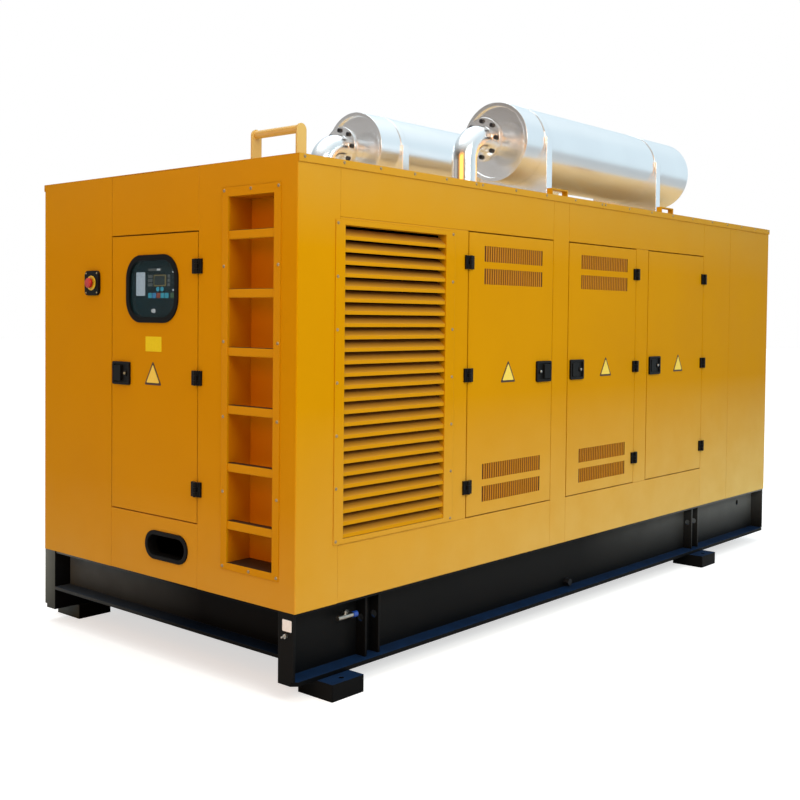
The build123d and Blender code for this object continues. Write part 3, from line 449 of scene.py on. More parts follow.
lined_inside, given, result = open_group(
    "lined inside",
    [
        ("Half Width", "Float", HALF_WIDTH),
        ("Start", "Float", -HALF_LENGTH),
        ("End", "Float", HALF_LENGTH),
        ("Top", "Float", 2.4),
    ],
    [("Mask", "Float")],
)
place = add(lined_inside, "ShaderNodeTexCoord").outputs["Object"]
along, across, height = add(lined_inside, "ShaderNodeSeparateXYZ", {0: place}).outputs
from_middle = add(lined_inside, "ShaderNodeMath", {0: across}, operation="ABSOLUTE").outputs[0]
limits = [
    (given["Half Width"], from_middle),
    (along, given["Start"]),
    (given["End"], along),
    (given["Top"], height),
]
cover = 1.0
for more, less in limits:
    within = add(lined_inside, "ShaderNodeMath", {0: more, 1: less}, operation="GREATER_THAN")
    cover = multiply(lined_inside, within.outputs[0], cover)
lined_inside.links.new(cover, result["Mask"])


LINED_WALL = 0.049
LINED_DOOR = 0.039
UNDER_ROOF = 0.001
DARK_LINING = (0.03, 0.03, 0.032)
wall_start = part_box("stop_column")[0].x
wall_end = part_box("back_columns")[1].x
wall_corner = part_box("side_panels")[1]


def line_inside(material, thick):
    tree = material.node_tree
    colour = tree.nodes["Principled BSDF"].inputs["Base Color"]
    outside = colour.links[0].from_socket
    room = {
        "Half Width": wall_corner.y - thick,
        "Start": wall_start + thick,
        "End": wall_end - thick,
        "Top": wall_corner.z + UNDER_ROOF,
    }
    inside = call(tree, lined_inside, room)["Mask"]
    tree.links.new(mix_colour(tree, inside, outside, (*DARK_LINING, 1)), colour)


amber_coat = {
    "colour": (0.59, 0.262, 0.0008),
    "patch": (0.61, 0.275, 0.001),
    "edge": (0.66, 0.32, 0.012),
    "grain": (520.0, 0.00022),
    "radius": 0.004,
    "IOR": 1.3,
    "Specular_IOR_Level": 0.05,
    "Specular_Tint": (0.9, 0.45, 0.02, 1.0),
}
# Paler low on the walls, most towards the back end: painted reflection of the floor.
PALE_SHEEN = (0.82, 0.58, 0.19)
side_foot_sheen = {"Low": 0.4, "High": 1.3, "Amount": 1.0, "Start Share": 0.2}
end_foot_sheen = {"Low": 0.4, "High": 0.85, "Amount": 0.16, "End Face Share": 1.0, "Side Face Share": 0.0}
# Paler under the eaves: painted reflection of the sky.
eaves_sheen = ((0.58, 0.34, 0.06), {"Low": 2.42, "High": 2.0, "Amount": 0.6})
yellow_paint = coated(
    "amber powder coat",
    dust_and_sheen=(0.5, 0.34, 0.12),
    dust_amount=0.3,
    gloss=(0.36, 0.46),
    films=[(PALE_SHEEN, side_foot_sheen), eaves_sheen, (PALE_SHEEN, end_foot_sheen)],
    **amber_coat,
)
far_door_paint = yellow_paint.copy()
far_door_paint.name = "amber powder coat on the far doors"
line_inside(yellow_paint, LINED_WALL)
line_inside(far_door_paint, LINED_DOOR)
dress(far_door_paint, "far_doors")
dress(
    yellow_paint,
    "side_panels",
    "side_posts",
    "back_columns",
    "back_panels",
    "control_end_lower_panel",
    "control_end_upper_panel",
    "ladder_column",
    "stop_column",
    "side_louvre_frames",
    "back_louvre_frame",
    "roof_loops",
    "side_door_1",
    "side_door_2",
    "side_door_3",
    "control_door",
)


# Ladder recess.
# A folded steel tray let into the corner column, with six folded rungs welded across it. Its flange
# is screwed on all round. Inwards from the flange the tray is painted a deeper orange, and the upward
# faces of the tray and rungs are painted dark, both painted shade.

tray_low, tray_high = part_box("ladder_recess")


# Deeper colour inwards along one axis and a darker tone on upward faces: painted shade, with dust on the
# louvre blades.
def shade_and_dust_coat(name, axis, unshaded, fully_shaded, deep_shade, top_shade_and_dust, top_shade_and_dust_amount):
    material, tree, shader = new_finish(name, Roughness=0.45, Specular_IOR_Level=0.05)
    edges = call(tree, rolled_edges, {"Radius": 0.003})
    patches = call(tree, mottle, {"Scale": COAT_PATCHES})["Patch"]
    lying = call(tree, settled_dust_and_sheen, {"Amount": top_shade_and_dust_amount, "Scale": 14.0})["Mask"]
    place = add(tree, "ShaderNodeTexCoord").outputs["Object"]
    depth = add(tree, "ShaderNodeSeparateXYZ", {0: place}).outputs[axis]
    tone = mix_colour(tree, patches, (*amber_coat["colour"], 1), (*amber_coat["patch"], 1))
    tone = mix_colour(tree, remap(tree, depth, unshaded, fully_shaded), tone, (*deep_shade, 1))
    tone = mix_colour(tree, lying, tone, (*top_shade_and_dust, 1))
    tree.links.new(tone, shader["Base Color"])
    grain = amber_coat["grain"]
    sockets = {"Scale": grain[0], "Depth": grain[1], "Normal": edges["Normal"]}
    tree.links.new(call(tree, fine_grain, sockets)["Normal"], shader["Normal"])
    return material


FLANGE_UNSHADED = 0.005
TRAY_SHADED = 0.015
# Deeper orange inwards from the flange and dark on upward faces: painted shade.
recess_paint = shade_and_dust_coat(
    "amber coat with painted shade in the recess",
    axis="X",
    unshaded=tray_low.x + FLANGE_UNSHADED,
    fully_shaded=tray_low.x + TRAY_SHADED,
    deep_shade=(0.54, 0.178, 0.0006),
    top_shade_and_dust=(0.045, 0.026, 0.015),
    top_shade_and_dust_amount=1.6,
)
dress(recess_paint, "ladder_recess", "ladder_rungs")

FLANGE_MARGIN = 0.014
SIDE_SCREWS = 6
left, right = tray_low.y + FLANGE_MARGIN, tray_high.y - FLANGE_MARGIN
lowest, highest = tray_low.z + FLANGE_MARGIN, tray_high.z - FLANGE_MARGIN
ladder_points = []
for step in range(SIDE_SCREWS):
    height = lowest + (highest - lowest) * step / (SIDE_SCREWS - 1)
    for across in (left, right):
        ladder_points.append(Vector((tray_low.x, across, height)))
for height in (lowest, highest):
    ladder_points.append(Vector((tray_low.x, (left + right) / 2, height)))
lay_out("ladder_flange_screws", screw_heads, ladder_points, small_screw, dull_zinc, TO_CONTROL_END)


# Rubber and black plastic.
# Extruded rubber edges the window and the cable outlet; hinges, latches and the stop box are
# moulded in black nylon with a fine matt grain.

rubber, tree, shader = mottled(
    "black extruded rubber",
    14.0,
    (0.003, 0.003, 0.003),
    (0.006, 0.006, 0.006),
    gloss=(0.42, 0.58),
    Specular_IOR_Level=0.1,
)
edges = call(tree, rolled_edges, {"Radius": 0.006})
sockets = {"Scale": 500.0, "Depth": 0.0002, "Normal": edges["Normal"]}
tree.links.new(call(tree, fine_grain, sockets)["Normal"], shader["Normal"])
dress(rubber, "window_gasket", "cable_outlet_edging")

black_plastic = coated(
    "black moulded nylon",
    colour=(0.004, 0.004, 0.004),
    patch=(0.006, 0.006, 0.006),
    edge=(0.015, 0.015, 0.015),
    dust_and_sheen=(0.12, 0.1, 0.07),
    dust_amount=0.35,
    gloss=(0.38, 0.5),
    grain=(800.0, 0.0003),
    radius=0.003,
    Specular_IOR_Level=0.12,
)
dress(
    black_plastic,
    "hinge_leaves",
    "far_door_fittings",
    "side_door_1_fittings",
    "side_door_2_fittings",
    "side_door_3_fittings",
    "control_door_fittings",
    "stop_box",
)


# Control window.
# One pane of tinted safety glass pressed into the groove of the rubber frame,
# through which the cabinet behind it shows dark blue.

window_glass, tree, shader = mottled(
    "tinted window glass",
    5.0,
    (0.006, 0.034, 0.05),
    (0.008, 0.042, 0.06),
    Roughness=0.03,
    Specular_IOR_Level=0.2,
    Alpha=0.35,
)
dress(window_glass, "window_pane")


# Control cabinet and controller.
# A grey sheet cabinet that stands behind the door on two folded legs. Its moulded controller has a
# small display in a gold frame, two round keys, a row of coloured keys, blank strips and lamps.
# A key switch and a blank pale blue plate are fixed to the cabinet beside it. The frame, keys, strips,
# switch and plate glow with their own colour, painted light, and so do the display and lamps.

cabinet_paint = coated(
    "grey cabinet paint",
    colour=(0.03, 0.04, 0.055),
    patch=(0.034, 0.045, 0.06),
    edge=(0.06, 0.07, 0.08),
    dust_and_sheen=(0.1, 0.1, 0.1),
    dust_amount=0.2,
    gloss=(0.4, 0.5),
    grain=(500.0, 0.0002),
    radius=0.003,
)
dress(cabinet_paint, "control_cabinet")
controller_plastic = coated(
    "dark controller plastic",
    colour=(0.018, 0.022, 0.03),
    patch=(0.022, 0.026, 0.034),
    edge=(0.05, 0.055, 0.06),
    dust_and_sheen=(0.1, 0.1, 0.1),
    dust_amount=0.1,
    gloss=(0.35, 0.45),
    grain=(900.0, 0.0002),
    radius=0.003,
)
dress(controller_plastic, "controller")

TO_FAR = Vector((0, 1, 0))
face_low, face_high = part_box("controller")
face = Vector((face_low.x, (face_low.y + face_high.y) / 2, (face_low.z + face_high.z) / 2))
DIMMER = 0.8


# Glows with its own colour: painted light on the keys, strips, frame, switch and plate.
def painted_glow(name, colour, glow):
    darker = tuple(part * DIMMER for part in colour)
    material, tree, shader = mottled(name, 120.0, colour, darker, Roughness=0.35, Emission_Strength=glow)
    tone = shader["Base Color"].links[0].from_socket
    tree.links.new(tone, shader["Emission Color"])
    return material


def on_face(across, up, size, corner, thick):
    middle = face + TO_FAR * across + UP * up
    return slab(middle, TO_FRONT, UP, size, corner, thick, bevel=0.001)


def join(*shapes):
    whole = bmesh.new()
    for shape in shapes:
        mesh = bpy.data.meshes.new("joined")
        shape.to_mesh(mesh)
        whole.from_mesh(mesh)
        bpy.data.meshes.remove(mesh)
        shape.free()
    return whole


def add_to_cabinet(name, shape, finish):
    add_piece(name, shape, finish, "canopy")


display_place = {"across": 0.007, "up": 0.009}
surround = on_face(size=(0.098, 0.058), corner=0.005, thick=0.004, **display_place)
gold = painted_glow("gold display frame", (0.4, 0.33, 0.12), glow=0.35)
add_to_cabinet("controller_display_frame", surround, gold)
screen = on_face(size=(0.084, 0.046), corner=0.003, thick=0.0055, **display_place)
add_to_cabinet("controller_display", screen, painted_glow("display", (0.07, 0.08, 0.07), glow=0.3))

round_key = {"up": -0.034, "size": (0.022, 0.022), "corner": 0.0108, "thick": 0.005}
square_key = {"up": -0.066, "size": (0.025, 0.026), "corner": 0.004, "thick": 0.005}
keys = [on_face(across, **round_key) for across in (0.024, -0.011)]
keys += [on_face(across, **square_key) for across in (0.088, -0.015, -0.049)]
add_to_cabinet("controller_cyan_keys", join(*keys), painted_glow("cyan keys", (0.06, 0.42, 0.58), glow=0.9))
for name, across, colour in (
    ("blue", 0.053, (0.08, 0.35, 0.7)),
    ("red", 0.018, (0.4, 0.09, 0.05)),
    ("green", -0.094, (0.08, 0.16, 0.08)),
):
    finish = painted_glow(name + " key", colour, glow=0.8)
    add_to_cabinet("controller_" + name + "_key", on_face(across, **square_key), finish)

STRIP_RISES = (-0.012, 0.009, 0.03)
TOP_STRIP_RISE = 0.0635
left_strip = {"across": 0.087, "size": (0.036, 0.016), "corner": 0.003, "thick": 0.003}
right_strip = {"across": -0.064, "size": (0.018, 0.016), "corner": 0.003, "thick": 0.003}
strips = [on_face(up=rise, **left_strip) for rise in STRIP_RISES]
strips += [on_face(up=rise, **right_strip) for rise in STRIP_RISES]
strips.append(on_face(0.05, TOP_STRIP_RISE, size=(0.104, 0.012), corner=0.003, thick=0.003))
grey = painted_glow("grey legends", (0.14, 0.15, 0.15), glow=0.8)
add_to_cabinet("controller_blank_legends", join(*strips), grey)
LAMP_COLOUR = (0.7, 0.75, 0.78)
round_lamp = {"across": -0.1, "size": (0.009, 0.009), "corner": 0.0042, "thick": 0.003}
lamps = [on_face(up=rise, **round_lamp) for rise in (0.05, -0.0395)]
lamps.append(on_face(0.017, TOP_STRIP_RISE, size=(0.026, 0.009), corner=0.003, thick=0.0045))
add_to_cabinet("controller_lamps", join(*lamps), painted_glow("pale lamps", LAMP_COLOUR, glow=1.1))

cabinet_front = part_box("control_cabinet")[0].x
BLANK_ASIDE = 0.207
BLANK_DROP = 0.006
beside = Vector((cabinet_front, face.y + BLANK_ASIDE, face.z - BLANK_DROP))
blank = slab(beside, TO_FRONT, UP, (0.074, 0.12), corner=0.004, thick=0.002, bevel=0.0005)
add_to_cabinet("cabinet_blank_plate", blank, painted_glow("pale blue plate", (0.62, 0.72, 0.8), glow=1.1))
SWITCH_ASIDE = 0.093
SWITCH_DROP = 0.143
switch = [Vector((cabinet_front, face.y + SWITCH_ASIDE, face.z - SWITCH_DROP))]
switch_size = {"Head Radius": 0.011, "Head Height": 0.012, "Sides": 12, "Taper": 0.8}
bright_key = painted_glow("bright key", LAMP_COLOUR, glow=1.0)
lay_out("cabinet_key_switch", screw_heads, switch, switch_size, bright_key, TO_CONTROL_END)


# Emergency stop.
# A moulded black box screwed to the column by its four corners, with a plain yellow collar disc
# behind its red mushroom button. The button is glossy moulded plastic, pressed on a steel spindle.

stop_red, tree, shader = mottled(
    "red stop plastic", 35.0, (0.5, 0.012, 0.008), (0.42, 0.01, 0.008), gloss=(0.25, 0.36), Coat_Weight=0.3
)
tree.links.new(call(tree, rolled_edges, {"Radius": 0.005})["Normal"], shader["Normal"])
dress(stop_red, "stop_button")

stop_low, stop_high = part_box("stop_box")
stop_middle = (stop_low + stop_high) / 2
stop_middle.x = stop_low.x
collar_yellow, tree, shader = mottled(
    "yellow collar", 60.0, (0.75, 0.5, 0.02), (0.68, 0.44, 0.02), Roughness=0.4
)
COLLAR_WIDE = 0.076
COLLAR_CORNER = 0.0379
collar_size = (COLLAR_WIDE, COLLAR_WIDE)
collar = slab(stop_middle, TO_FRONT, UP, collar_size, COLLAR_CORNER, thick=0.004, steps=9, bevel=0.001)
add_piece("stop_collar", collar, collar_yellow, "canopy")
STOP_SCREW_MARGIN = 0.014
stop_screw = {"Head Radius": 0.005, "Head Height": 0.003, "Sides": 12, "Taper": 0.65}
stop_points = []
for across in (stop_low.y + STOP_SCREW_MARGIN, stop_high.y - STOP_SCREW_MARGIN):
    for height in (stop_low.z + STOP_SCREW_MARGIN, stop_high.z - STOP_SCREW_MARGIN):
        stop_points.append(Vector((stop_low.x, across, height)))
lay_out("stop_box_screws", screw_heads, stop_points, stop_screw, dull_zinc, TO_CONTROL_END)


# Side and control doors.
# Pressed sheet doors lined with dark foam. Doors 1 and 2 have four rows of punched slots, whose bars
# are part of the sheet and are painted a darker red, a painted shade, with a brown sheet of painted
# shade behind them. Each door carries a key lock in its latch and blank plates stuck to its face.
# The fixed doors of the far side are dressed alike.

foam, tree, shader = new_finish("dark lining foam", Roughness=0.9)
place = add(tree, "ShaderNodeTexCoord").outputs["Object"]
cells = add(tree, "ShaderNodeTexVoronoi", {"Vector": place, "Scale": 140.0}).outputs["Distance"]
tone = mix_colour(tree, cells, (0.012, 0.012, 0.013, 1), (0.045, 0.045, 0.048, 1))
tree.links.new(tone, shader["Base Color"])
pitted = add(tree, "ShaderNodeBump", {"Height": cells, "Strength": 0.6, "Distance": 0.003})
tree.links.new(pitted.outputs[0], shader["Normal"])
dress(foam, "side_door_1_lining", "side_door_2_lining", "side_door_3_lining", "control_door_lining")

# A brown sheet behind the slots: painted shade.
slot_shade_sheet, tree, shader = mottled(
    "brown painted shade behind the slots", 25.0, (0.15, 0.045, 0.024), (0.2, 0.06, 0.032), Roughness=0.95
)
tree.links.new(call(tree, fine_grain, {"Scale": 400.0, "Depth": 0.001})["Normal"], shader["Normal"])

VENT_SETIN_LEFT = 0.133
VENT_SETIN_RIGHT = 0.105
VENT_INSET = 0.064
VENT_TALL = 0.082
VENT_STEP = 0.118
VENT_PITCH = 0.0202
VENT_BAR = 0.0095
SHEET = 0.003
SHADE_SHEET_BEHIND = 0.008
SHADE_SHEET_THICK = 0.002
vent_bars, given = open_layout(
    "vent bars",
    [
        ("Row Width", "Float", 0.513),
        ("Row Height", "Float", VENT_TALL),
        ("Pitch", "Float", VENT_PITCH),
        ("Bar Width", "Float", VENT_BAR),
        ("Sheet", "Float", SHEET),
    ],
)
spaces = add(vent_bars, "ShaderNodeMath", {0: given["Row Width"], 1: given["Pitch"]}, operation="DIVIDE")
bars = add(vent_bars, "ShaderNodeMath", {0: spaces.outputs[0]}, operation="FLOOR").outputs[0]
step = add(vent_bars, "ShaderNodeCombineXYZ", {"X": given["Pitch"]}).outputs[0]
run = add(vent_bars, "GeometryNodeMeshLine", {"Count": bars, "Offset": step}).outputs[0]
spans = add(vent_bars, "ShaderNodeMath", {0: bars, 1: 1.0}, operation="SUBTRACT").outputs[0]
sockets = {0: step, "Scale": multiply(vent_bars, spans, -0.5)}
shift = add(vent_bars, "ShaderNodeVectorMath", sockets, operation="SCALE").outputs[0]
centred = add(vent_bars, "GeometryNodeTransform", {"Geometry": run, "Translation": shift}).outputs[0]
sockets = {"X": given["Bar Width"], "Y": given["Sheet"], "Z": given["Row Height"]}
bar_size = add(vent_bars, "ShaderNodeCombineXYZ", sockets).outputs[0]
bar = add(vent_bars, "GeometryNodeMeshCube", {"Size": bar_size}).outputs[0]
row = add(vent_bars, "GeometryNodeInstanceOnPoints", {"Points": centred, "Instance": bar}).outputs[0]
whole_row = add(vent_bars, "GeometryNodeRealizeInstances", {0: row}).outputs[0]
sockets = {"Points": given["Points"], "Instance": whole_row}
close_layout(vent_bars, given, add(vent_bars, "GeometryNodeInstanceOnPoints", sockets).outputs[0])


def vent_rows(low, high, plane):
    middle = (low.x + VENT_SETIN_LEFT + high.x - VENT_SETIN_RIGHT) / 2
    lower = [low.z + VENT_INSET + VENT_TALL / 2 + VENT_STEP * i for i in range(2)]
    upper = [high.z - VENT_INSET - VENT_TALL / 2 - VENT_STEP * i for i in range(2)]
    return [Vector((middle, plane, height)) for height in lower + upper]


LATCH_IN = 0.0875
LOCK_ASIDE = 0.036
LATCH_PROUD = 0.012
lock_face = {"Head Radius": 0.0075, "Head Height": 0.004, "Sides": 16, "Taper": 0.85}
triangle_edge, tree, shader = mottled(
    "dark plate border", 80.0, (0.045, 0.018, 0.004), (0.06, 0.025, 0.005), Roughness=0.5
)
triangle_fill, tree, shader = mottled(
    "pale yellow plate",
    80.0,
    (0.88, 0.66, 0.11),
    (0.85, 0.62, 0.09),
    Roughness=0.4,
    Specular_IOR_Level=0.1,
)


def triangle(centre, along, base, tall, round_off, thick):
    out = along.cross(UP)
    corners = [(-base / 2, -tall / 2), (base / 2, -tall / 2), (0.0, tall / 2)]
    shape = bmesh.new()
    ring = []
    for i, corner in enumerate(corners):
        here = Vector(corner)
        before = (Vector(corners[i - 1]) - here).normalized() * round_off
        after = (Vector(corners[(i + 1) % 3]) - here).normalized() * round_off
        for share in (0.0, 0.25, 0.5, 0.75, 1.0):
            ring.append(here + before * (1 - share) ** 2 + after * share ** 2)
    loops = []
    for rise in (0.0, thick):
        loops.append([shape.verts.new(centre + along * p.x + UP * p.y + out * rise) for p in ring])
    count = len(ring)
    for i in range(count):
        j = (i + 1) % count
        shape.faces.new((loops[0][i], loops[0][j], loops[1][j], loops[1][i]))
    shape.faces.new(loops[1])
    shape.faces.new(list(reversed(loops[0])))
    return shape


FILL_DROP = 0.003


def blank_triangle(name, centre, along, body):
    border = triangle(centre, along, base=0.136, tall=0.118, round_off=0.012, thick=0.0012)
    add_piece(name + "_plate_border", border, triangle_edge, body)
    low_centre = centre - UP * FILL_DROP
    inner = triangle(low_centre, along, base=0.104, tall=0.09, round_off=0.008, thick=0.002)
    add_piece(name + "_plate", inner, triangle_fill, body)


# A darker, redder copy of the amber coat: painted shade on the slot bars.
shaded_slot_paint = coated(
    "shaded amber coat on the slot bars",
    colour=(0.54, 0.21, 0.012),
    patch=(0.57, 0.23, 0.014),
    edge=(0.5, 0.22, 0.02),
    dust_and_sheen=(0.4, 0.2, 0.06),
    dust_amount=0.2,
    gloss=(0.4, 0.5),
    grain=amber_coat["grain"],
    radius=0.001,
    Specular_IOR_Level=0.05,
)
TO_BACK_END = Vector((1, 0, 0))
VENTED = ("side_door_1", "side_door_2")
TRIANGLE_ASIDE = 0.034
TRIANGLE_RISE = 0.01
FLAP_SIZE = (0.005, 0.014)
far_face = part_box("far_doors")[1].y
for door, hinge_side in (("side_door_1", -1), ("side_door_2", 1), ("side_door_3", 1)):
    leaf_low, leaf_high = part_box(door)
    leaf_middle = (leaf_low + leaf_high) / 2
    latch_edge = leaf_high.x - LATCH_IN if hinge_side < 0 else leaf_low.x + LATCH_IN
    for name, body, plane, facing, along in (
        (door, door, leaf_low.y, TO_FRONT, TO_BACK_END),
        (door.replace("side", "far"), "canopy", far_face, TO_FAR, TO_CONTROL_END),
    ):
        if door in VENTED:
            wide = leaf_high.x - leaf_low.x - VENT_SETIN_LEFT - VENT_SETIN_RIGHT
            rows = vent_rows(leaf_low, leaf_high, plane - facing.y * SHEET / 2)
            slots = {"Row Width": wide, "Row Height": VENT_TALL, "Pitch": VENT_PITCH}
            slots.update({"Bar Width": VENT_BAR, "Sheet": SHEET})
            lay_out(name + "_vent_bars", vent_bars, rows, slots, shaded_slot_paint, facing, body)
            # Brown sheets behind the slots: painted shade.
            shade_sheet_size = (wide, VENT_TALL)
            backs = [spot - facing * SHADE_SHEET_BEHIND for spot in rows]
            shade_sheets = [slab(back, along, UP, shade_sheet_size, corner=0.001, thick=SHADE_SHEET_THICK) for back in backs]
            add_piece(name + "_vent_shade_sheet", join(*shade_sheets), slot_shade_sheet, body)
        lock_along = latch_edge + LOCK_ASIDE * hinge_side
        lock = Vector((lock_along, plane + facing.y * LATCH_PROUD, leaf_middle.z))
        lay_out(name + "_lock", screw_heads, [lock], lock_face, zinc, facing, body)
        flap = slab(lock, along, UP, FLAP_SIZE, corner=0.002, thick=0.005, bevel=0.001)
        add_piece(name + "_lock_flap", flap, zinc, body)
        spot = Vector((leaf_middle.x + TRIANGLE_ASIDE * hinge_side, plane, leaf_middle.z + TRIANGLE_RISE))
        blank_triangle(name, spot, along, body)

CONTROL_TRIANGLE_RISE = 0.009
door_low, door_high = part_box("control_door")
door_middle = (door_low + door_high) / 2
lock = Vector((door_low.x - LATCH_PROUD, door_high.y - LATCH_IN - LOCK_ASIDE, door_middle.z))
lay_out("control_door_lock", screw_heads, [lock], lock_face, dull_zinc, TO_CONTROL_END, "control_door")
spot = Vector((door_low.x, door_middle.y, door_middle.z + CONTROL_TRIANGLE_RISE))
blank_triangle("control_door", spot, TO_FRONT, "control_door")
lemon, tree, shader = mottled(
    "lemon plate", 80.0, (0.8, 0.64, 0.003), (0.77, 0.6, 0.003), Roughness=0.35, Specular_IOR_Level=0.1
)
LEMON_ASIDE = 0.003
LEMON_RISE = 0.152
spot = Vector((door_low.x, door_middle.y - LEMON_ASIDE, door_middle.z + LEMON_RISE))
plate = slab(spot, TO_FRONT, UP, (0.128, 0.074), corner=0.003, thick=0.0012, bevel=0.0004)
add_piece("control_door_blank_plate", plate, lemon, "control_door")


# Side louvres.
# Fixed weather blades of folded sheet, welded into a frame whose flange is screwed to the wall down
# both edges. Behind their lips the blades are painted darker, a painted shade under the blade above,
# and their tops are painted tan, dust with painted shade.

frame_low, frame_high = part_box("side_louvre_frames")
blade_low, blade_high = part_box("front_louvre_blades")
SHADE_START = 0.001
SHADE_FULL = 0.03
for node, axis, lip, inward in (
    ("front_louvre_blades", "Y", blade_low.y, 1),
    ("far_louvre_blades", "Y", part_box("far_louvre_blades")[1].y, -1),
    ("back_louvre_blades", "X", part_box("back_louvre_blades")[1].x, -1),
):
    # Darker behind the lips: painted shade. Tan on the tops: dust with painted shade.
    blade_paint = shade_and_dust_coat(
        "amber coat on " + node,
        axis=axis,
        unshaded=lip + SHADE_START * inward,
        fully_shaded=lip + SHADE_FULL * inward,
        deep_shade=(0.13, 0.034, 0.0006),
        top_shade_and_dust=(0.4, 0.18, 0.045),
        top_shade_and_dust_amount=0.6,
    )
    dress(blade_paint, node)

LOUVRE_SCREWS = 7
FOOT_MARGIN = 0.021
HEAD_MARGIN = 0.028
OUT_TO_LEFT = 0.047
OUT_TO_RIGHT = 0.055
lowest, highest = frame_low.z + FOOT_MARGIN, frame_high.z - HEAD_MARGIN
left, right = blade_low.x - OUT_TO_LEFT, blade_high.x + OUT_TO_RIGHT
louvre_points = []
for step in range(LOUVRE_SCREWS):
    height = lowest + (highest - lowest) * step / (LOUVRE_SCREWS - 1)
    for along in (left, right):
        louvre_points.append(Vector((along, frame_low.y, height)))
lay_out("front_louvre_screws", screw_heads, louvre_points, small_screw, dull_zinc, TO_FRONT)
far_points = [Vector((point.x, frame_high.y, point.z)) for point in louvre_points]
lay_out("far_louvre_screws", screw_heads, far_points, small_screw, dull_zinc, TO_FAR)


# Roof.
# Four sheets folded down over the walls and screwed along the lip, thick with dust on top.
# A bent bar handle stands over the ladder, its coat worn smooth by hands and painted paler with pale
# tops, a painted highlight, and small strap loops are welded along the edges.

roof_paint = coated(
    "dusty amber roof coat",
    dust_and_sheen=(0.55, 0.46, 0.3),
    dust_amount=0.75,
    gloss=(0.4, 0.5),
    # The folded lip is painted paler: painted reflection of the sky.
    films=[eaves_sheen],
    **amber_coat,
)
line_inside(roof_paint, LINED_WALL)
dress(roof_paint, "roof_sheets")
# Paler coat and pale tops: painted highlight.
handle_paint = coated(
    "amber coat worn smooth",
    colour=(0.66, 0.42, 0.1),
    patch=(0.7, 0.47, 0.13),
    edge=(0.78, 0.55, 0.2),
    dust_and_sheen=(0.7, 0.55, 0.28),
    dust_amount=0.6,
    gloss=(0.2, 0.3),
    grain=(520.0, 0.0001),
    radius=0.004,
    Specular_IOR_Level=0.5,
)
dress(handle_paint, "grab_handle")

roof_low, roof_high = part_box("roof_sheets")
LIP_PAST_WALL = 0.006
LIP_SCREW_DROP = 0.012
LIP_ROWS = ((0.028, 1.253, 6), (1.308, 2.504, 5), (2.543, 3.696, 5), (3.997, 4.97, 5))
lip_points = []
lip_facings = []
for first, last, screws in LIP_ROWS:
    for step in range(screws):
        along = roof_low.x + LIP_PAST_WALL + first + (last - first) * step / (screws - 1)
        for plane, way in ((roof_low.y, TO_FRONT), (roof_high.y, TO_FAR)):
            lip_points.append(Vector((along, plane, roof_high.z - LIP_SCREW_DROP)))
            lip_facings.append(way)
lay_out("roof_lip_screws", screw_heads, lip_points, small_screw, dull_zinc, lip_facings)


# Silencers and exhaust elbows.
# Rolled and seamed bright aluminium drums with dished ends, strapped on saddles;
# each elbow rises out of the roof through a collar and is bolted to the drum by a pair of flanges.

silencer_sheet, tree, shader = mottled(
    "bright rolled aluminium", 4.0, (0.98, 0.985, 0.99), (0.95, 0.955, 0.965), Metallic=1.0
)
place = add(tree, "ShaderNodeTexCoord").outputs["Object"]
stretched = add(tree, "ShaderNodeMapping", {"Vector": place, "Scale": (60.0, 3.0, 3.0)}).outputs[0]
sockets = {"Vector": stretched, "Scale": 4.0, "Detail": 4.0}
rolled = add(tree, "ShaderNodeTexNoise", sockets).outputs["Fac"]
tree.links.new(remap(tree, rolled, 0.3, 0.7, 0.22, 0.27), shader["Roughness"])
edges = call(tree, rolled_edges, {"Radius": 0.006})
sockets = {"Height": rolled, "Strength": 0.04, "Distance": 0.002, "Normal": edges["Normal"]}
tree.links.new(add(tree, "ShaderNodeBump", sockets).outputs[0], shader["Normal"])
dress(silencer_sheet, "silencers", "silencer_saddles", "exhaust_elbows")

dark_bolts, tree, shader = mottled(
    "blackened bolts", 90.0, (0.02, 0.02, 0.024), (0.04, 0.04, 0.045), Metallic=0.6, Roughness=0.45
)
bolt_circle, given = open_layout(
    "bolt circle",
    [
        ("Circle Radius", "Float", 0.105),
        ("Bolts", "Int", 8),
        ("Head Radius", "Float", 0.013),
        ("Head Height", "Float", 0.012),
    ],
)
sockets = {"Vertices": given["Bolts"], "Radius": given["Circle Radius"]}
ring = add(bolt_circle, "GeometryNodeMeshCircle", sockets).outputs[0]
sockets = {"Vertices": 6, "Radius": given["Head Radius"], "Depth": given["Head Height"]}
hexagon = add(bolt_circle, "GeometryNodeMeshCylinder", sockets).outputs[0]
heads = add(bolt_circle, "GeometryNodeInstanceOnPoints", {"Points": ring, "Instance": hexagon}).outputs[0]
whole_ring = add(bolt_circle, "GeometryNodeRealizeInstances", {0: heads}).outputs[0]
sockets = {"Points": given["Points"], "Instance": whole_ring, "Rotation": facing_turn(bolt_circle)}
close_layout(bolt_circle, given, add(bolt_circle, "GeometryNodeInstanceOnPoints", sockets).outputs[0])

drums_low, drums_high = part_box("silencers")
drum_radius = (drums_high.z - drums_low.z) / 2
STAGGER = 0.283
FLANGE_OUT = 0.129
drum_axis = drums_low.z + drum_radius
near_flange = Vector((drums_low.x + STAGGER - FLANGE_OUT, drums_low.y + drum_radius, drum_axis))
far_flange = Vector((drums_low.x - FLANGE_OUT, drums_high.y - drum_radius, drum_axis))
ring_sizes = {"Circle Radius": 0.107, "Bolts": 8, "Head Radius": 0.014, "Head Height": 0.026}
ring_points = [near_flange, far_flange]
lay_out("exhaust_flange_bolts", bolt_circle, ring_points, ring_sizes, dark_bolts, TO_CONTROL_END)


# Machine inside.
# A cast iron engine and an alternator, sprayed mid grey and bolted on rails, seen only through the
# open doors. Behind them a black radiator with fine level fins stands on the deck.

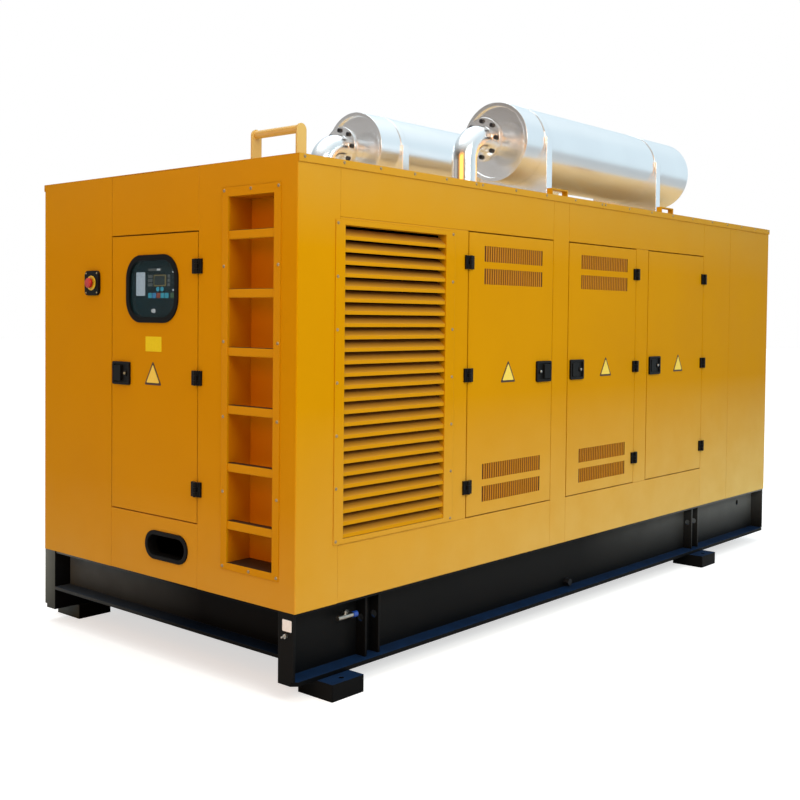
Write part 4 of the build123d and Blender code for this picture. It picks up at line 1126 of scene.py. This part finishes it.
engine_paint = coated(
    "grey engine paint",
    colour=(0.1, 0.11, 0.12),
    patch=(0.13, 0.14, 0.145),
    edge=(0.2, 0.2, 0.2),
    dust_and_sheen=(0.2, 0.18, 0.15),
    dust_amount=0.4,
    gloss=(0.4, 0.55),
    grain=(160.0, 0.0008),
    radius=0.008,
)
dress(engine_paint, "engine", "alternator")
radiator_paint, tree, shader = new_finish("black radiator paint", Roughness=0.6)
place = add(tree, "ShaderNodeTexCoord").outputs["Object"]
fins = add(tree, "ShaderNodeTexWave", {"Vector": place, "Scale": 60.0}, bands_direction="Z").outputs["Fac"]
tone = mix_colour(tree, fins, (0.006, 0.006, 0.006, 1), (0.03, 0.03, 0.03, 1))
tree.links.new(tone, shader["Base Color"])
ridged = add(tree, "ShaderNodeBump", {"Height": fins, "Strength": 0.5, "Distance": 0.003})
tree.links.new(ridged.outputs[0], shader["Normal"])
dress(radiator_paint, "radiator")


# Studio.
# A plain pale floor and a soft white sky. One broad light falls on the long side, a warm one on the
# control end, a cool one from above, and a pale card stands where the silencers' ends mirror it.

FLOOR_TONE = (0.62, 0.62, 0.62)
REACH = 60.0
corners = [(-REACH, -REACH, 0), (REACH, -REACH, 0), (REACH, REACH, 0), (-REACH, REACH, 0)]
floor_mesh = bpy.data.meshes.new("floor")
floor_mesh.from_pydata(corners, [], [(0, 1, 2, 3)])
floor = bpy.data.objects.new("floor", floor_mesh)
floor_finish, tree, shader = mottled(
    "pale floor", 0.7, FLOOR_TONE, (0.6, 0.6, 0.6), Roughness=0.9, Emission_Strength=1.0
)
seen = add(tree, "ShaderNodeLightPath").outputs["Is Camera Ray"]
tree.links.new(mix_colour(tree, seen, (0, 0, 0, 1), (*FLOOR_TONE, 1)), shader["Emission Color"])
floor_mesh.materials.append(floor_finish)
bpy.context.scene.collection.objects.link(floor)

DIM_AND_WARM = (0.1, 0.07, 0.045, 1)
PALE_SKY = (0.7, 0.84, 0.92, 1)
OVERHEAD = (1.08, 1.17, 1.2, 1)
scene = bpy.context.scene
scene.view_settings.view_transform = "Standard"
sky = bpy.data.worlds.new("studio sky")
scene.world = sky
sky.use_nodes = True
tree = sky.node_tree
tree.nodes.clear()
skyward = add(tree, "ShaderNodeTexCoord").outputs["Generated"]
way = add(tree, "ShaderNodeSeparateXYZ", {0: skyward}).outputs
tone = mix_colour(tree, remap(tree, way["X"], -0.7, 0.7), DIM_AND_WARM, PALE_SKY)
tone = mix_colour(tree, remap(tree, way["Z"], 0.45, 0.95), tone, OVERHEAD)
soft = add(tree, "ShaderNodeBackground", {"Color": tone, "Strength": 1.0})
white = add(tree, "ShaderNodeBackground", {"Color": (1, 1, 1, 1), "Strength": 1.0})
seen = add(tree, "ShaderNodeLightPath").outputs["Is Camera Ray"]
both = add(tree, "ShaderNodeMixShader", {0: seen, 1: soft.outputs[0], 2: white.outputs[0]})
add(tree, "ShaderNodeOutputWorld", {"Surface": both.outputs[0]})


def soft_light(name, place, towards, size, power, colour):
    lamp = bpy.data.lights.new(name, "AREA")
    lamp.shape = "RECTANGLE"
    lamp.size, lamp.size_y = size
    lamp.energy = power
    lamp.color = colour
    holder = bpy.data.objects.new(name, lamp)
    holder.location = place
    holder.rotation_euler = (Vector(towards) - Vector(place)).to_track_quat("-Z", "Y").to_euler()
    scene.collection.objects.link(holder)


soft_light(
    "side light",
    place=(-3.0, -7.0, 5.0),
    towards=(-1.2, -1.0, 1.2),
    size=(5.0, 3.0),
    power=262.0,
    colour=(1.0, 1.02, 0.95),
)
soft_light(
    "end light",
    place=(-8.5, -2.0, 4.0),
    towards=(-2.4, -0.3, 1.3),
    size=(5.0, 4.0),
    power=180.0,
    colour=(1.0, 0.42, 0.06),
)
soft_light(
    "top light",
    place=(0.0, 1.0, 9.0),
    towards=(0.0, 0.0, 2.0),
    size=(8.0, 6.0),
    power=380.0,
    colour=(0.93, 0.97, 1.0),
)
soft_light(
    "pale card",
    place=(-9.0, 7.5, 2.6),
    towards=(-0.5, 0.0, 2.6),
    size=(6.0, 5.0),
    power=45.0,
    colour=(0.93, 0.97, 1.0),
)

EYE_FROM_CORNER = Vector((-3.3014, -3.4582, 1.2979))
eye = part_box("ladder_column")[0] + EYE_FROM_CORNER
yaw = math.radians(40.986)
pitch = math.radians(1.70)
roll = math.radians(-0.606)
ahead = Vector((math.cos(yaw) * math.cos(pitch), math.sin(yaw) * math.cos(pitch), -math.sin(pitch)))
level = ahead.cross(UP).normalized()
down = ahead.cross(level)
right = level * math.cos(roll) + down * math.sin(roll)
lens = bpy.data.cameras.new("camera")
lens.sensor_width = 36.0
lens.lens = 49.67
lens.shift_y = -0.0625
lens.clip_end = 200.0
camera = bpy.data.objects.new("camera", lens)
turned = Matrix((right, right.cross(ahead), -ahead)).transposed()
camera.matrix_world = Matrix.Translation(eye) @ turned.to_4x4()
scene.collection.objects.link(camera)
scene.camera = camera
